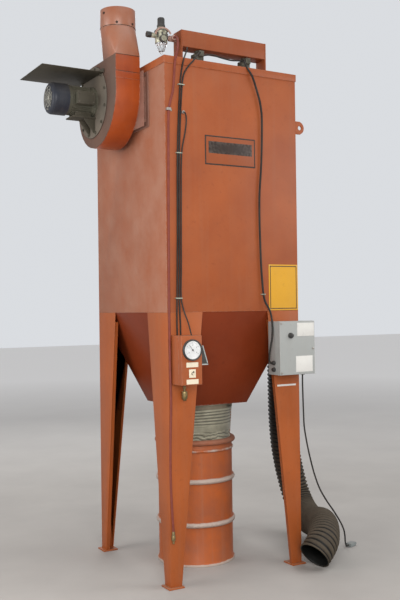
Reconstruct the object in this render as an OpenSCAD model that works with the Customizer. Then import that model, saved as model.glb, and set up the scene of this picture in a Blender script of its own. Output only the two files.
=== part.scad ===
// Cabinet dust collector on four folded legs, with a pyramid hopper, a fabric boot and a dust drum.
// A fan and motor stand off the left side, an air header with two pulse valves stands on the lid,
// and a control box, a starter box, air tubes, cables and a ribbed inlet hose complete it.
// Millimetres, +X to the right of the front, +Y to the back, +Z up.
// The origin is on the floor at the middle of the four feet.

/* [Cabinet] */
// Width of the cabinet, side to side
cab_w = 915; // [860:5:1000]
// Depth of the cabinet, front to back
cab_d = 965; // [900:5:1050]
// Height of the cabinet walls
cab_h = 1456; // [1350:2:1600]
// Thickness of the cabinet and leg sheet
sheet_t = 4; // [3:0.5:6]
// Height of the skirt folded down round the lid
lid_skirt_h = 43; // [30:1:60]
// Thickness of the lid sheet
lid_t = 4; // [3:0.5:6]
// Height of the lifting lugs
lug_h = 80; // [60:2:100]
// How far the lifting lugs stand out
lug_reach = 70; // [60:1:90]
// Thickness of the lifting lugs
lug_t = 8; // [6:1:12]
// Radius of the hole in a lifting lug
lug_hole_r = 13; // [8:1:16]
// Height of the lugs' middle over the cabinet's lower edge
lug_up = 1135; // [900:5:1250]

/* [Hopper] */
// Height of the sloping hopper
hopper_h = 570; // [500:5:640]
// Side of the square hopper outlet
outlet_w = 468; // [464:2:500]
// Thickness of the hopper sheet
hopper_t = 3; // [2:0.5:5]
// Radius of the round spigot under the hopper
spigot_r = 222; // [205:1:224]
// Height of the spigot
spigot_h = 40; // [30:1:60]

/* [Legs] */
// Height of the cabinet's lower edge over the floor
leg_h = 1560; // [1500:5:1650]
// Width of a leg's front or back flange at the top
leg_top_front = 230; // [200:2:260]
// Width of a leg's side flange at the top
leg_top_side = 255; // [220:2:280]
// Width of both flanges at the foot
leg_foot_w = 72; // [64:1:84]
// Depth of the lip folded along each flange
leg_lip = 25; // [18:1:32]
// Side of the square foot plate
foot_w = 98; // [92:1:120]
// Thickness of the foot plate
foot_t = 8; // [5:1:12]
// How far the foot plate stands out past the leg
foot_out = 19; // [12:1:22]
// Distance of an anchor hole from the leg's two outer faces
anchor_in = 42; // [38:1:46]
// Radius of an anchor hole
anchor_r = 8; // [5:0.5:10]

/* [Drum and boot] */
// Radius of the drum's wall
drum_r = 235; // [232:1:245]
// Height of the drum
drum_h = 766; // [700:2:800]
// Thickness of the drum's wall
drum_t = 2; // [1.5:0.5:3]
// How far the drum's two main ribs stand out
rib_out = 16; // [10:1:20]
// Height of the lower rib's middle
rib_low_z = 253; // [200:1:300]
// Height of the upper rib's middle
rib_high_z = 518; // [450:1:560]
// How far the drum stands to one side of the hopper's middle
drum_x = -15; // [-18:1:0]
// Height of the ring that clamps the drum's rim
ring_h = 32; // [24:1:40]
// How far the ring stands out past the wall
ring_out = 21; // [16:1:24]
// Thickness of the boot's fabric
boot_t = 2.5; // [2:0.5:4]
// How far the boot hangs into the drum
boot_in = 36; // [20:1:60]
// Width of the strap that clamps the boot
strap_h = 20; // [14:1:24]

/* [Fan] */
// Distance of the fan's middle behind the cabinet's middle
fan_y = 85; // [60:1:110]
// Distance of the fan's axis below the top of the cabinet walls
fan_down = 171; // [166:1:230]
// Width of the scroll between its side plates
scroll_w = 152; // [130:1:180]
// Thickness of the scroll sheet
scroll_t = 3; // [2:0.5:4]
// Radius of the scroll at the back
scroll_r_back = 222; // [212:1:232]
// Radius of the scroll at the front
scroll_r_front = 333; // [320:1:350]
// Length of the scroll's mouth along the cabinet
mouth_d = 170; // [150:1:190]
// Height of the neck between the square mouth and the round collar
neck_h = 178; // [150:1:200]
// Inside radius of the exhaust collar
collar_r = 101.5; // [90:0.5:110]
// Height of the exhaust collar
collar_h = 112; // [80:1:130]
// How far the neck leans back
neck_lean = 44; // [30:1:60]
// Depth of the inlet box between the fan and the cabinet
inlet_gap = 38; // [30:1:60]
// Width of the inlet box's flanges
box_flange = 30; // [24:1:32]
// Distance of the inlet box's lower edge below the fan's axis
box_down = 195; // [150:5:210]
// The fan's box ends this far inside the cabinet's front and back
box_inset = 198; // [180:2:230]
// Radius of the round air way into the fan
eye_r = 88; // [70:1:90]
// Radius of the round motor plate
motor_plate_r = 214; // [205:1:218]
// Thickness of the motor plate
motor_plate_t = 6; // [4:1:10]

/* [Motor] */
// Radius of the motor
motor_r = 95; // [85:1:105]
// Length of the motor's body
motor_l = 176; // [150:1:200]
// Length of the motor's fan cover
cover_l = 108; // [90:1:120]
// Length of the seat under the motor
bracket_l = 150; // [140:1:160]
// Width of the seat under the motor
bracket_w = 110; // [100:1:130]
// Reach of the gussets under the seat
gusset_l = 74; // [60:1:90]
// Height of the gussets under the seat
gusset_h = 84; // [70:1:95]
// Length of the shield over the motor
shield_l = 382; // [350:2:400]
// Depth of the shield, front to back
shield_d = 394; // [340:2:420]
// Height of the shield over the motor's axis
shield_up = 145; // [125:1:160]
// Thickness of the shield
shield_t = 3; // [2:0.5:5]

/* [Air header] */
// Length of the square header tube
header_l = 580; // [520:5:620]
// Side of the header tube
header_s = 98; // [90:1:110]
// Thickness of the header tube
header_t = 5; // [4:0.5:8]
// Height of the gap under the header
header_up = 95; // [85:1:110]
// Distance of the header's front face behind the cabinet's front
header_in = 82; // [60:2:100]
// Thickness of the posts at the header's ends
post_t = 8; // [6:1:12]
// Distance between the two pulse valves
valve_pitch = 330; // [280:5:360]
// Radius of a pulse valve's body
valve_r = 38; // [32:1:42]
// Radius of the pipes through the valves
valve_pipe_r = 17; // [13:1:20]
// Length of the pipe between the header and the regulator
supply_l = 108; // [98:1:116]
// Radius of the regulator's body
reg_r = 36; // [32:1:38]

/* [Control box] */
// Width of the control box
ctl_w = 130; // [124:1:140]
// Height of the control box
ctl_h = 275; // [260:1:300]
// Depth of the control box
ctl_d = 130; // [110:1:150]
// Height of the socket on the side of the control box
socket_h = 112; // [90:1:130]
// Reach of the socket out of the control box
socket_out = 41; // [30:1:50]
// Width of the socket
socket_w = 32; // [24:1:34]
// Depth of the control box's cover
ctl_cover_d = 37; // [25:1:50]
// Distance of the control box's lower face below the cabinet
ctl_down = 405; // [360:5:430]
// Distance of the control box from the cabinet's left side
ctl_in = 16; // [14:1:30]
// Radius of the gauge's rim
gauge_r = 60; // [50:1:61]
// Thickness of the gauge's rim
gauge_t = 16; // [10:1:24]

/* [Starter box] */
// Width of the starter box
start_w = 258; // [230:2:280]
// Height of the starter box
start_h = 320; // [300:2:340]
// Depth of the starter box
start_d = 120; // [100:1:140]
// Depth of the starter box's lid
start_lid_d = 22; // [14:1:30]
// Push button's distance below the top of the starter box
button_down = 85; // [60:1:110]
// Push button's distance from the left side of the starter box
button_in = 77; // [40:1:120]
// Distance of the starter box's lower face below the cabinet
start_down = 384; // [360:2:410]
// How far the starter box stands out past the cabinet's right side
start_out = 31; // [20:1:40]

/* [Plates] */
// Width of the sign plate
sign_w = 216; // [200:1:230]
// Height of the sign plate
sign_h = 279; // [250:1:300]
// Width of the name plate
name_w = 350; // [320:2:380]
// Height of the name plate
name_h = 172; // [150:1:190]
// Height of the name plate's lower edge over the cabinet's lower edge
name_up = 858; // [780:2:900]
// Distance of the name plate's middle to the left of the cabinet's middle
name_left = 23; // [0:1:60]
// Length of the narrow label on the right leg
label_w = 140; // [120:2:150]
// Thickness of the sign, name and label plates
plate_t = 1.5; // [1:0.5:3]

/* [Inlet hose] */
// Outer radius of the ribbed hose
hose_r = 100; // [92:1:104]
// Length of the inlet collar on the right side
stub_l = 90; // [70:1:110]
// Distance of the inlet behind the cabinet's middle
stub_y = 150; // [140:1:160]
// Height of the inlet over the cabinet's lower edge
stub_up = 330; // [320:1:340]
// Thickness of the inlet collar's wall
stub_t = 2; // [1.5:0.5:4]
// Width of the flange round the inlet collar
stub_flange = 26; // [18:1:34]

/* [Hidden] */

// Clearance between pieces that are bolted or clamped on
seat_gap = 0.3;
round_fn = 96;
small_fn = 32;

// Cabinet places
half_w = cab_w / 2;
half_d = cab_d / 2;
wall_top = leg_h + cab_h;
lid_top = wall_top + lid_t;
lid_out = seat_gap + lid_t;
fan_z = wall_top - fan_down;

// Hopper places
outlet_z = leg_h - hopper_h;
hopper_top_x = half_w - sheet_t;
hopper_top_y = half_d - sheet_t;
outlet_half = outlet_w / 2;
slope_x = (hopper_top_x - outlet_half) / hopper_h;
slope_y = (hopper_top_y - outlet_half) / hopper_h;

// Fan places, all measured outwards from the cabinet's left side
inner_x = -half_w - inlet_gap;
band_x = inner_x - scroll_t;
outer_x = band_x - scroll_w;
motor_plate_x = outer_x - scroll_t;
motor_x = motor_plate_x - motor_plate_t;
cover_x = motor_x - motor_l;
mouth_front_y = fan_y - scroll_r_front;
mouth_back_y = mouth_front_y + mouth_d;
mouth_z = fan_z + scroll_r_back - 2;
neck_top_z = mouth_z + neck_h;
collar_x = band_x - scroll_w / 2;
collar_y = (mouth_front_y + mouth_back_y) / 2 + neck_lean;

// Header places
header_z = lid_top + header_up;
header_front_y = -half_d + header_in;
header_y = header_front_y + header_s / 2;
header_mid_z = header_z + header_s / 2;
reg_x = -header_l / 2 - post_t - supply_l;

// Box places
ctl_z = leg_h - ctl_down;
start_z = leg_h - start_down;
ctl_x = -half_w + ctl_in;
ctl_mid_x = ctl_x + ctl_w / 2;
ctl_front_y = -half_d - ctl_d;
gauge_z = ctl_z + ctl_h - gauge_r - 20;
start_x = half_w + start_out - start_w;
start_front_y = -half_d - start_d;

// Inlet places
stub_z = leg_h + stub_up;
stub_r = hose_r - 8;

// Routes of the hoses, tubes and cables, as points chosen by hand
inlet_line = [[40, 0, stub_z], [102, 0, stub_z], [182, 0, stub_z - 14], [264, 0, stub_z - 70],
    [310, 0, stub_z - 160], [322, 0, stub_z - 290], [320, 0, 1400], [318, 0, 1200], [319, 0, 1000], [322, 0, 830],
    [336, 0, 650], [360.5, -2, 500], [384.5, -12, 380], [398.5, -44, 270], [392.5, -114, 190], [368.5, -208, 154],
    [335.5, -308, 148], [298.5, -414, 166], [244.5, -524, 187], [172.5, -634, 183], [92, -730, 152],
    [34, -766, 119], [-12, -778, 84]];
inlet_route = [for (p = inlet_line) [half_w + p[0], stub_y + p[1], p[2]]];
hose_route = [[-337, -383, 3164], [-338, -412, 3158], [-348, -446, 3120], [-370, -480, 3062],
    [-395, -496, 2994], [-404, -497, 2900], [-412, -497, 2820], [-434, -496, 2740], [-441, -495, 2690],
    [-446, -495, 2400], [-450, -495, 2000], [-453, -495, 1600], [-452, -495, 1300], [-449, -495, 1050],
    [-456, -495, 800], [-457, -495, 600], [-450, -495, 430], [-444, -495, 326]];
left_route = [[-270, -415, 3106], [-282, -440, 3092], [-312, -474, 3052], [-340, -494, 3000],
    [-356, -496, 2930], [-364, -495, 2860], [-376, -495, 2690], [-386, -494, 2468], [-390, -494, 2250],
    [-393, -494, 2000], [-398, -495, 1800], [-402, -496, 1640], [-405, -497, 1560], [-406, -498, 1490],
    [-406, -500, 1431]];
right_route = [[-172, -400, 3094], [-190, -420, 3086], [-232, -462, 3052], [-274, -494, 3008],
    [-312, -496, 2968], [-340, -495, 2920], [-352, -495, 2850], [-364, -495, 2690], [-374, -494, 2468],
    [-378, -494, 2250], [-381, -494, 2000], [-384, -495, 1800], [-388, -496, 1640], [-386, -497, 1560],
    [-384, -498, 1490], [-384, -500, 1431]];
gauge_route = [[-344, -497, 2704], [-340, -512, 2692], [-336, -512, 2650], [-344, -508, 2580], [-358, -500, 2500],
    [-362, -494, 2420], [-366, -494, 2200], [-369, -494, 2000], [-372, -495, 1800], [-375, -496, 1640],
    [-368, -512, 1570], [-356, -540, 1500], [-348, -560, 1431]];
valve_route = [[132, -402, 3092], [118, -424, 3084], [100, -462, 3058], [98, -488, 3018], [128, -498, 2970],
    [160, -497, 2890], [184, -497, 2815], [196, -496, 2729], [190, -494, 2464], [172, -494, 2228],
    [175, -494, 1911], [186, -496, 1700], [196, -502, 1620], [224, -514, 1560], [226, -534, 1480],
    [214, -546, 1400], [198, -548, 1330], [190, -548, 1272], [198, -545, 1252], [214, -544, 1248]];
starter_route = [[442, -538, 1168], [442, -537, 1120], [445, -535, 1040], [450, -532, 940], [457, -528, 850],
    [473, -525, 770], [494, -521, 690], [515, -518, 620], [541, -514, 545], [581, -510, 455],
    [630, -514, 374], [683, -520, 300], [743, -514, 218], [802, -474, 150], [837, -440, 102],
    [868, -406, 50], [900, -379, 16], [926, -366, 12]];

// Outline of the scroll, from the mouth's front corner round to the front tangent, drawn inset by d
function scroll_r(a) = a <= 0 ? scroll_r_back : scroll_r_back + (scroll_r_front - scroll_r_back) * a / 180;
function scroll_outline(d) = concat(
    [[mouth_front_y + d, mouth_z], [mouth_front_y + mouth_d - d, mouth_z], [mouth_front_y + mouth_d - d, mouth_z - d],
    [fan_y, mouth_z - d]],
    [for (a = [-80:10:180]) [fan_y + (scroll_r(a) - d) * cos(a), fan_z - (scroll_r(a) - d) * sin(a)]]);

// Frames carried along a route without twisting, for swept tubes
function unit(v) = v / norm(v);
function tangents(p) = [for (i = [0:len(p) - 1]) unit(p[min(i + 1, len(p) - 1)] - p[max(i - 1, 0)])];
function carried(t, n, i = 0) = i >= len(t) ? [] :
    let (m = unit(n - (n * t[i]) * t[i])) concat([m], carried(t, m, i + 1));

// Round tube swept along the points of a route
module swept_tube(route, r, sides, first_normal) {
    t = tangents(route);
    n = carried(t, first_normal);
    last = len(route) - 1;
    points = [for (i = [0:last]) for (k = [0:sides - 1])
        route[i] + r * (cos(360 * k / sides) * n[i] + sin(360 * k / sides) * cross(t[i], n[i]))];
    walls = [for (i = [0:last - 1]) for (k = [0:sides - 1])
        let (a = i * sides + k, b = i * sides + (k + 1) % sides) [b, a, a + sides, b + sides]];
    start_cap = [[for (k = [0:sides - 1]) k]];
    end_cap = [[for (k = [sides - 1:-1:0]) last * sides + k]];
    polyhedron(points, concat(start_cap, walls, end_cap), convexity = 6);
}

// Plate lying in the front plane, its outline in X and Z, its front face at y
module front_plate(outline, y, t) {
    translate([0, y + t, 0]) rotate([90, 0, 0]) linear_extrude(t) polygon(outline);
}

// Plate lying in the side plane, its outline in Y and Z, its lower face at x
module side_plate(outline, x, t) {
    translate([x, 0, 0]) rotate([90, 0, 90]) linear_extrude(t) polygon(outline);
}

// Disc or rod along X, from x outwards to the left
module rod_left(x, y, z, r, l, fn = round_fn) {
    translate([x, y, z]) rotate([0, -90, 0]) cylinder(r = r, h = l, $fn = fn);
}

// Disc or rod along Y, from y towards the front
module rod_front(x, y, z, r, l, fn = small_fn) {
    translate([x, y, z]) rotate([90, 0, 0]) cylinder(r = r, h = l, $fn = fn);
}

module front_panel() color("chocolate")
    translate([-half_w, -half_d, leg_h]) cube([cab_w, sheet_t, cab_h]);

module back_panel() color("chocolate")
    translate([-half_w, half_d - sheet_t, leg_h]) cube([cab_w, sheet_t, cab_h]);

module side_sheet() translate([0, -half_d + sheet_t, leg_h]) cube([sheet_t, cab_d - 2 * sheet_t, cab_h]);

module left_panel() color("chocolate") difference() {
    translate([-half_w, 0, 0]) side_sheet();
    rod_left(-half_w + 2 * sheet_t, fan_y, fan_z, eye_r, 3 * sheet_t);
}

module right_panel() color("chocolate") difference() {
    translate([half_w - sheet_t, 0, 0]) side_sheet();
    rod_left(half_w + sheet_t, stub_y, stub_z, stub_r, 3 * sheet_t);
}

module top_lid() color("chocolate") {
    lid_w = cab_w + 2 * lid_out;
    lid_d = cab_d + 2 * lid_out;
    difference() {
        translate([-lid_w / 2, -lid_d / 2, lid_top - lid_skirt_h]) cube([lid_w, lid_d, lid_skirt_h]);
        translate([-half_w - seat_gap, -half_d - seat_gap, lid_top - lid_skirt_h - 1])
            cube([cab_w + 2 * seat_gap, cab_d + 2 * seat_gap, lid_skirt_h - lid_t + 1]);
    }
}

// Four-sided funnel of sheet with a straight lap that stands inside the cabinet's walls.
// Its rings run up the outside and down the inside: height over the outlet, height on the slope, inset.
module hopper_shell() color("sienna") {
    lap = 30;
    rings = [[0, 0, 0], [hopper_h, hopper_h, 0], [hopper_h + lap, hopper_h, 0],
        [hopper_h + lap, hopper_h, hopper_t], [hopper_h, hopper_h, hopper_t], [0, 0, hopper_t]];
    points = [for (r = rings) for (c = [[-1, -1], [1, -1], [1, 1], [-1, 1]])
        [c[0] * (outlet_half + slope_x * r[1] - r[2]), c[1] * (outlet_half + slope_y * r[1] - r[2]), outlet_z + r[0]]];
    walls = [for (i = [0:5]) for (k = [0:3])
        let (n = (k + 1) % 4, up = ((i + 1) % 6) * 4) [i * 4 + k, up + k, up + n, i * 4 + n]];
    polyhedron(points, walls, convexity = 4);
}

module hopper_outlet() color("sienna") difference() {
    union() {
        translate([-outlet_half, -outlet_half, outlet_z - sheet_t]) cube([outlet_w, outlet_w, sheet_t]);
        translate([0, 0, outlet_z - sheet_t - spigot_h]) cylinder(r = spigot_r, h = spigot_h, $fn = round_fn);
    }
    translate([0, 0, outlet_z - sheet_t - spigot_h - 1])
        cylinder(r = spigot_r - hopper_t, h = spigot_h + sheet_t + 2, $fn = round_fn);
}

// One leg with its corner at the origin, its flanges along +X and +Y and a lip along each slanted edge
module leg() color("orangered") {
    rise = leg_h - foot_t;
    front_run = (leg_top_front - leg_foot_w) / rise;
    side_run = (leg_top_side - leg_foot_w) / rise;
    front_lip_top = leg_h - (leg_lip - sheet_t + 2) / slope_y;
    side_lip_top = leg_h - (leg_lip - sheet_t + 2) / slope_x;
    front_at = function (z) leg_foot_w + front_run * (z - foot_t);
    side_at = function (z) leg_foot_w + side_run * (z - foot_t);
    front_plate([[0, foot_t], [leg_foot_w, foot_t], [leg_top_front, leg_h], [0, leg_h]], 0, sheet_t);
    side_plate([[0, foot_t], [leg_foot_w, foot_t], [leg_top_side, leg_h], [0, leg_h]], 0, sheet_t);
    front_plate([[leg_foot_w - sheet_t, foot_t], [leg_foot_w, foot_t], [front_at(front_lip_top), front_lip_top],
        [front_at(front_lip_top) - sheet_t, front_lip_top]], 0, leg_lip);
    side_plate([[leg_foot_w - sheet_t, foot_t], [leg_foot_w, foot_t], [side_at(side_lip_top), side_lip_top],
        [side_at(side_lip_top) - sheet_t, side_lip_top]], 0, leg_lip);
}

// Copies of a corner piece, turned out to one of the four corners
module at_corner(sx, sy)
    translate([-sx * half_w, -sy * half_d, 0]) mirror([sx < 0 ? 1 : 0, 0, 0]) mirror([0, sy < 0 ? 1 : 0, 0]) children();

module leg_front_left() at_corner(1, 1) leg();
module leg_front_right() at_corner(-1, 1) leg();
module leg_back_left() at_corner(1, -1) leg();
module leg_back_right() at_corner(-1, -1) leg();

module foot_plate() difference() {
    translate([-foot_out, -foot_out, 0]) cube([foot_w, foot_w, foot_t]);
    translate([anchor_in, anchor_in, -1]) cylinder(r = anchor_r, h = foot_t + 2, $fn = small_fn);
}

module foot_plates() color("orangered")
    for (sx = [-1, 1]) for (sy = [-1, 1]) at_corner(sx, sy) foot_plate();

// Lug plate standing out along +X from the origin, with a rounded outer end
module lug() rotate([90, 0, 0]) difference() {
    union() {
        translate([0, -lug_h / 2, 0]) cube([lug_reach - lug_h / 3, lug_h, lug_t]);
        intersection() {
            translate([0, -lug_h / 2, 0]) cube([lug_reach, lug_h, lug_t]);
            translate([lug_reach - lug_h / 2, 0, 0]) cylinder(r = lug_h / 2, h = lug_t, $fn = round_fn);
        }
    }
    translate([lug_reach - lug_h / 2 + 8, 0, -1]) cylinder(r = lug_hole_r, h = lug_t + 2, $fn = small_fn);
}

module lifting_lugs() color("chocolate") {
    for (y = [lug_t * 2 - half_d, half_d - lug_t]) translate([half_w, y, leg_h + lug_up]) lug();
    for (x = [-half_w, half_w - lug_t]) translate([x, half_d, leg_h + lug_up]) rotate([0, 0, 90]) lug();
}

// Boot: straight on the spigot, leaning down to the drum, and straight again inside the drum
module boot_form(r) {
    low = drum_h - boot_in;
    spigot_low = outlet_z - sheet_t - spigot_h;
    high = spigot_low - 20;
    drum_top = drum_h + 20;
    translate([drum_x, 0, low]) cylinder(r = r, h = drum_top - low, $fn = round_fn);
    hull() {
        translate([drum_x, 0, drum_top - 1]) cylinder(r = r, h = 1, $fn = round_fn);
        translate([0, 0, high]) cylinder(r = r, h = 1, $fn = round_fn);
    }
    translate([0, 0, high]) cylinder(r = r, h = outlet_z - sheet_t - high, $fn = round_fn);
}

module fabric_boot() color("darkkhaki") difference() {
    boot_form(spigot_r + seat_gap + boot_t);
    translate([0, 0, -1]) boot_form(spigot_r + seat_gap);
    translate([0, 0, outlet_z - sheet_t - 2]) cylinder(r = spigot_r + seat_gap, h = 4, $fn = round_fn);
}

module boot_strap() color("silver") {
    inner = spigot_r + boot_t + 2 * seat_gap;
    translate([0, 0, outlet_z - sheet_t - spigot_h / 2 - strap_h / 2]) difference() {
        cylinder(r = inner + 2, h = strap_h, $fn = round_fn);
        translate([0, 0, -1]) cylinder(r = inner, h = strap_h + 2, $fn = round_fn);
    }
}

// Bulge of a rolled rib, as radius and height pairs from bottom to top
function rib_arc(z, out, half) = [for (a = [-90:22.5:90]) [drum_r + out * cos(a), z + half * sin(a)]];

module drum_shell() color("orangered") {
    chime = 10;
    head_z = drum_h - ring_h - 30;
    outer = concat([[drum_r + chime, 0], [drum_r + chime, 12], [drum_r, 18]], rib_arc(rib_low_z, rib_out, 17),
        rib_arc(rib_high_z, rib_out, 17), rib_arc(head_z, rib_out / 2, 10), [[drum_r, drum_h]]);
    inner = [for (i = [len(outer) - 1:-1:2]) [outer[i][0] - drum_t, outer[i][1]]];
    translate([drum_x, 0, 0]) rotate_extrude($fn = round_fn)
        polygon(concat([[0, 12], [drum_r - 2, 12], [drum_r - 2, 0]], outer, inner, [[drum_r - drum_t, 14], [0, 14]]));
}

// Ring that clamps the drum's rim and closes the gap between the drum and the boot
module drum_ring() color("chocolate") {
    inner = drum_r + seat_gap;
    lip = spigot_r + boot_t + 2 * seat_gap;
    low = drum_h - ring_h + 4;
    translate([drum_x, 0, 0]) rotate_extrude($fn = round_fn)
        polygon(concat([[inner, low], [inner + 8, low]],
            [for (a = [-75:15:75]) [drum_r + ring_out - 15 + 15 * cos(a), drum_h - ring_h / 2 + 4 + (ring_h / 2) * sin(a)]],
            [[inner + 8, drum_h + 4], [lip, drum_h + 4], [lip, drum_h + seat_gap],
            [inner, drum_h + seat_gap]]));
}

// Box between the fan and the cabinet: two flanges and a narrower wall, open right through
module fan_inlet_box() color("chocolate") {
    flange = box_flange;
    flange_t = 2 * scroll_t;
    reach = half_d - box_inset;
    high = min(lid_top - lid_skirt_h - 2, fan_z + 130);
    low = fan_z - box_down;
    difference() {
        union() {
            translate([-half_w - flange_t, -reach, low]) cube([flange_t, 2 * reach, high - low]);
            translate([inner_x, -reach, low]) cube([flange_t, 2 * reach, high - low]);
            translate([inner_x, -reach + flange, low + flange])
                cube([inlet_gap, 2 * reach - 2 * flange, high - low - 2 * flange]);
        }
        rod_left(-half_w + 1, fan_y, fan_z, eye_r, inlet_gap + 2);
    }
}

module fan_inner_plate() color("chocolate") difference() {
    side_plate(scroll_outline(0), band_x, scroll_t);
    rod_left(inner_x + 1, fan_y, fan_z, eye_r, scroll_t + 2);
}

module fan_scroll_band() color("chocolate") difference() {
    side_plate(scroll_outline(0), outer_x, scroll_w);
    side_plate(scroll_outline(scroll_t), outer_x - 1, scroll_w + 2);
    translate([outer_x - 1, mouth_front_y + scroll_t, mouth_z - 2 * scroll_t])
        cube([scroll_w + 2, mouth_d - 2 * scroll_t, 3 * scroll_t]);
}

module fan_outer_plate() color("chocolate") difference() {
    side_plate(scroll_outline(0), motor_plate_x, scroll_t);
    rod_left(outer_x + 1, fan_y, fan_z, motor_plate_r - 20, scroll_t + 2);
}

// Square-to-round neck, drawn inset by d and longer by e at both ends
module neck_form(d, e) hull() {
    translate([motor_plate_x + d, mouth_front_y + d, mouth_z - e])
        cube([scroll_w + 2 * scroll_t - 2 * d, mouth_d - 2 * d, 1]);
    translate([collar_x, collar_y, neck_top_z - 1 + e]) cylinder(r = collar_r + scroll_t - d, h = 1, $fn = 64);
}

module fan_neck() color("chocolate") difference() {
    neck_form(0, 0);
    neck_form(scroll_t, 0.5);
}

module exhaust_collar() color("chocolate") translate([collar_x, collar_y, neck_top_z]) difference() {
    cylinder(r = collar_r + scroll_t, h = collar_h, $fn = round_fn);
    translate([0, 0, -1]) cylinder(r = collar_r, h = collar_h + 2, $fn = round_fn);
}

module motor_plate() color("rosybrown") rod_left(motor_plate_x, fan_y, fan_z, motor_plate_r, motor_plate_t);

module motor_body() color("darkolivegreen") {
    flange_t = 14;
    rod_left(motor_x, fan_y, fan_z, motor_r, flange_t);
    rod_left(motor_x - flange_t, fan_y, fan_z, motor_r - 5, motor_l - flange_t);
}

module motor_fan_cover() color("midnightblue") {
    dome = 22;
    rod_left(cover_x, fan_y, fan_z, motor_r, cover_l - dome);
    translate([cover_x - cover_l + dome, fan_y, fan_z]) rotate([0, -90, 0])
        cylinder(r1 = motor_r, r2 = motor_r - 16, h = dome, $fn = round_fn);
}

module motor_box() color("darkolivegreen") difference() {
    translate([motor_x - motor_l + 30, fan_y - motor_r - 39, fan_z - 42]) cube([110, 56, 70]);
    rod_left(motor_x, fan_y, fan_z, motor_r - 5 + seat_gap, motor_l);
}

module motor_bracket() color("dimgray") {
    seat_z = fan_z - motor_r - 4;
    translate([motor_x - bracket_l, fan_y - bracket_w / 2, seat_z - 8]) cube([bracket_l, bracket_w, 8]);
    for (y = [fan_y - bracket_w / 2 + 14, fan_y + bracket_w / 2 - 20]) front_plate([[motor_x, seat_z - 8],
        [motor_x, seat_z - 8 - gusset_h], [motor_x - 10, seat_z - 8 - gusset_h], [motor_x - gusset_l, seat_z - 8]], y, 6);
    difference() {
        for (y = [fan_y - bracket_w / 2 + 4, fan_y + bracket_w / 2 - 28])
            translate([motor_x - bracket_l + 20, y, seat_z]) cube([100, 24, 40]);
        rod_left(motor_x, fan_y, fan_z, motor_r - 5 + seat_gap, motor_l);
    }
}

module motor_shield() color("dimgray") {
    shield_z = fan_z + shield_up;
    shield_y = fan_y + 16 - shield_d / 2;
    translate([motor_x - shield_l, shield_y, shield_z]) cube([shield_l, shield_d, shield_t]);
    translate([motor_x - shield_t, shield_y, shield_z]) cube([shield_t, shield_d, 26]);
}

module air_header() color("chocolate") translate([-header_l / 2, header_front_y, header_z]) difference() {
    cube([header_l, header_s, header_s]);
    translate([-1, header_t, header_t]) cube([header_l + 2, header_s - 2 * header_t, header_s - 2 * header_t]);
}

module header_posts() color("chocolate")
    for (x = [-header_l / 2 - post_t, header_l / 2])
        translate([x, header_front_y, lid_top]) cube([post_t, header_s, header_up + header_s]);

// Diaphragm valve between the header and the lid
module pulse_valve(x) color("darkslategray") {
    body_z = lid_top + header_up / 2 - 2;
    translate([x, header_y, lid_top]) cylinder(r = valve_pipe_r, h = header_up, $fn = small_fn);
    translate([x, header_y, body_z - 16]) cylinder(r = valve_r, h = 18, $fn = round_fn);
    translate([x, header_y, body_z + 4]) cylinder(r = valve_r, h = 18, $fn = round_fn);
    translate([x, header_y, body_z + 1]) cylinder(r = valve_r - 3, h = 4, $fn = round_fn);
    translate([x - 16, header_front_y - 4, body_z + 6]) cube([32, header_s / 2, 34]);
}

module pulse_valve_left() pulse_valve(-valve_pitch / 2);
module pulse_valve_right() pulse_valve(valve_pitch / 2);

// Pipe, union and tee between the header's left post and the regulator
module supply_pipe() color("rosybrown") {
    start = -header_l / 2 - post_t;
    rod_left(start, header_y, header_mid_z, 10, supply_l - reg_r, small_fn);
    rod_left(start, header_y, header_mid_z, 18, 12, 6);
    rod_left(start - 20, header_y, header_mid_z, 17, 38, small_fn);
    rod_front(start - 39, header_y, header_mid_z, 15, 31);
}

module regulator() color("darkkhaki") {
    translate([reg_x, header_y, header_mid_z - 38]) cylinder(r = reg_r, h = 70, $fn = round_fn);
    translate([reg_x, header_y, header_mid_z + 32]) cylinder(r1 = reg_r + 4, r2 = 20, h = 26, $fn = round_fn);
    rod_left(reg_x, header_y, header_mid_z + 4, 15, reg_r + 58, small_fn);
    rod_front(reg_x - 12, header_y, header_mid_z - 24, 8, 42);
    rod_front(reg_x - 12, header_y - 40, header_mid_z - 24, 21, 20, round_fn);
}

// Clear bowl screwed up under the regulator, with its drain
module filter_bowl() color("aliceblue") translate([reg_x, header_y, header_mid_z]) {
    translate([0, 0, -86]) cylinder(r1 = 17, r2 = reg_r - 4, h = 48 - seat_gap, $fn = round_fn);
    translate([0, 0, -98]) cylinder(r = 6, h = 12, $fn = small_fn);
}

module regulator_knob() color("black") translate([reg_x, header_y, header_mid_z + 58 + seat_gap]) {
    cylinder(r1 = 25, r2 = 23, h = 12, $fn = round_fn);
    translate([0, 0, 12]) cylinder(r1 = 23, r2 = 21, h = 42, $fn = round_fn);
}

module control_box() color("chocolate") translate([ctl_x, ctl_front_y + ctl_cover_d, ctl_z])
    cube([ctl_w, ctl_d - ctl_cover_d, ctl_h]);

module control_cover() color("chocolate") translate([ctl_x, ctl_front_y, ctl_z]) cube([ctl_w, ctl_cover_d, ctl_h]);

module pressure_gauge() color("white") rod_front(ctl_mid_x, ctl_front_y, gauge_z, gauge_r, gauge_t, round_fn);

// Tap under the control box: a short pipe down to a round filter plug
module pressure_tap() color("olive") {
    tap_x = ctl_mid_x + 10;
    tap_y = -half_d - 22;
    translate([tap_x, tap_y, ctl_z - 46]) cylinder(r = 6, h = 46, $fn = small_fn);
    translate([tap_x, tap_y, ctl_z - 30]) cylinder(r = 10, h = 14, $fn = 6);
    translate([tap_x, tap_y, ctl_z - 78]) cylinder(r = 17, h = 34, $fn = small_fn);
    translate([tap_x, tap_y, ctl_z - 96]) cylinder(r1 = 9, r2 = 17, h = 18, $fn = small_fn);
}

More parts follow.
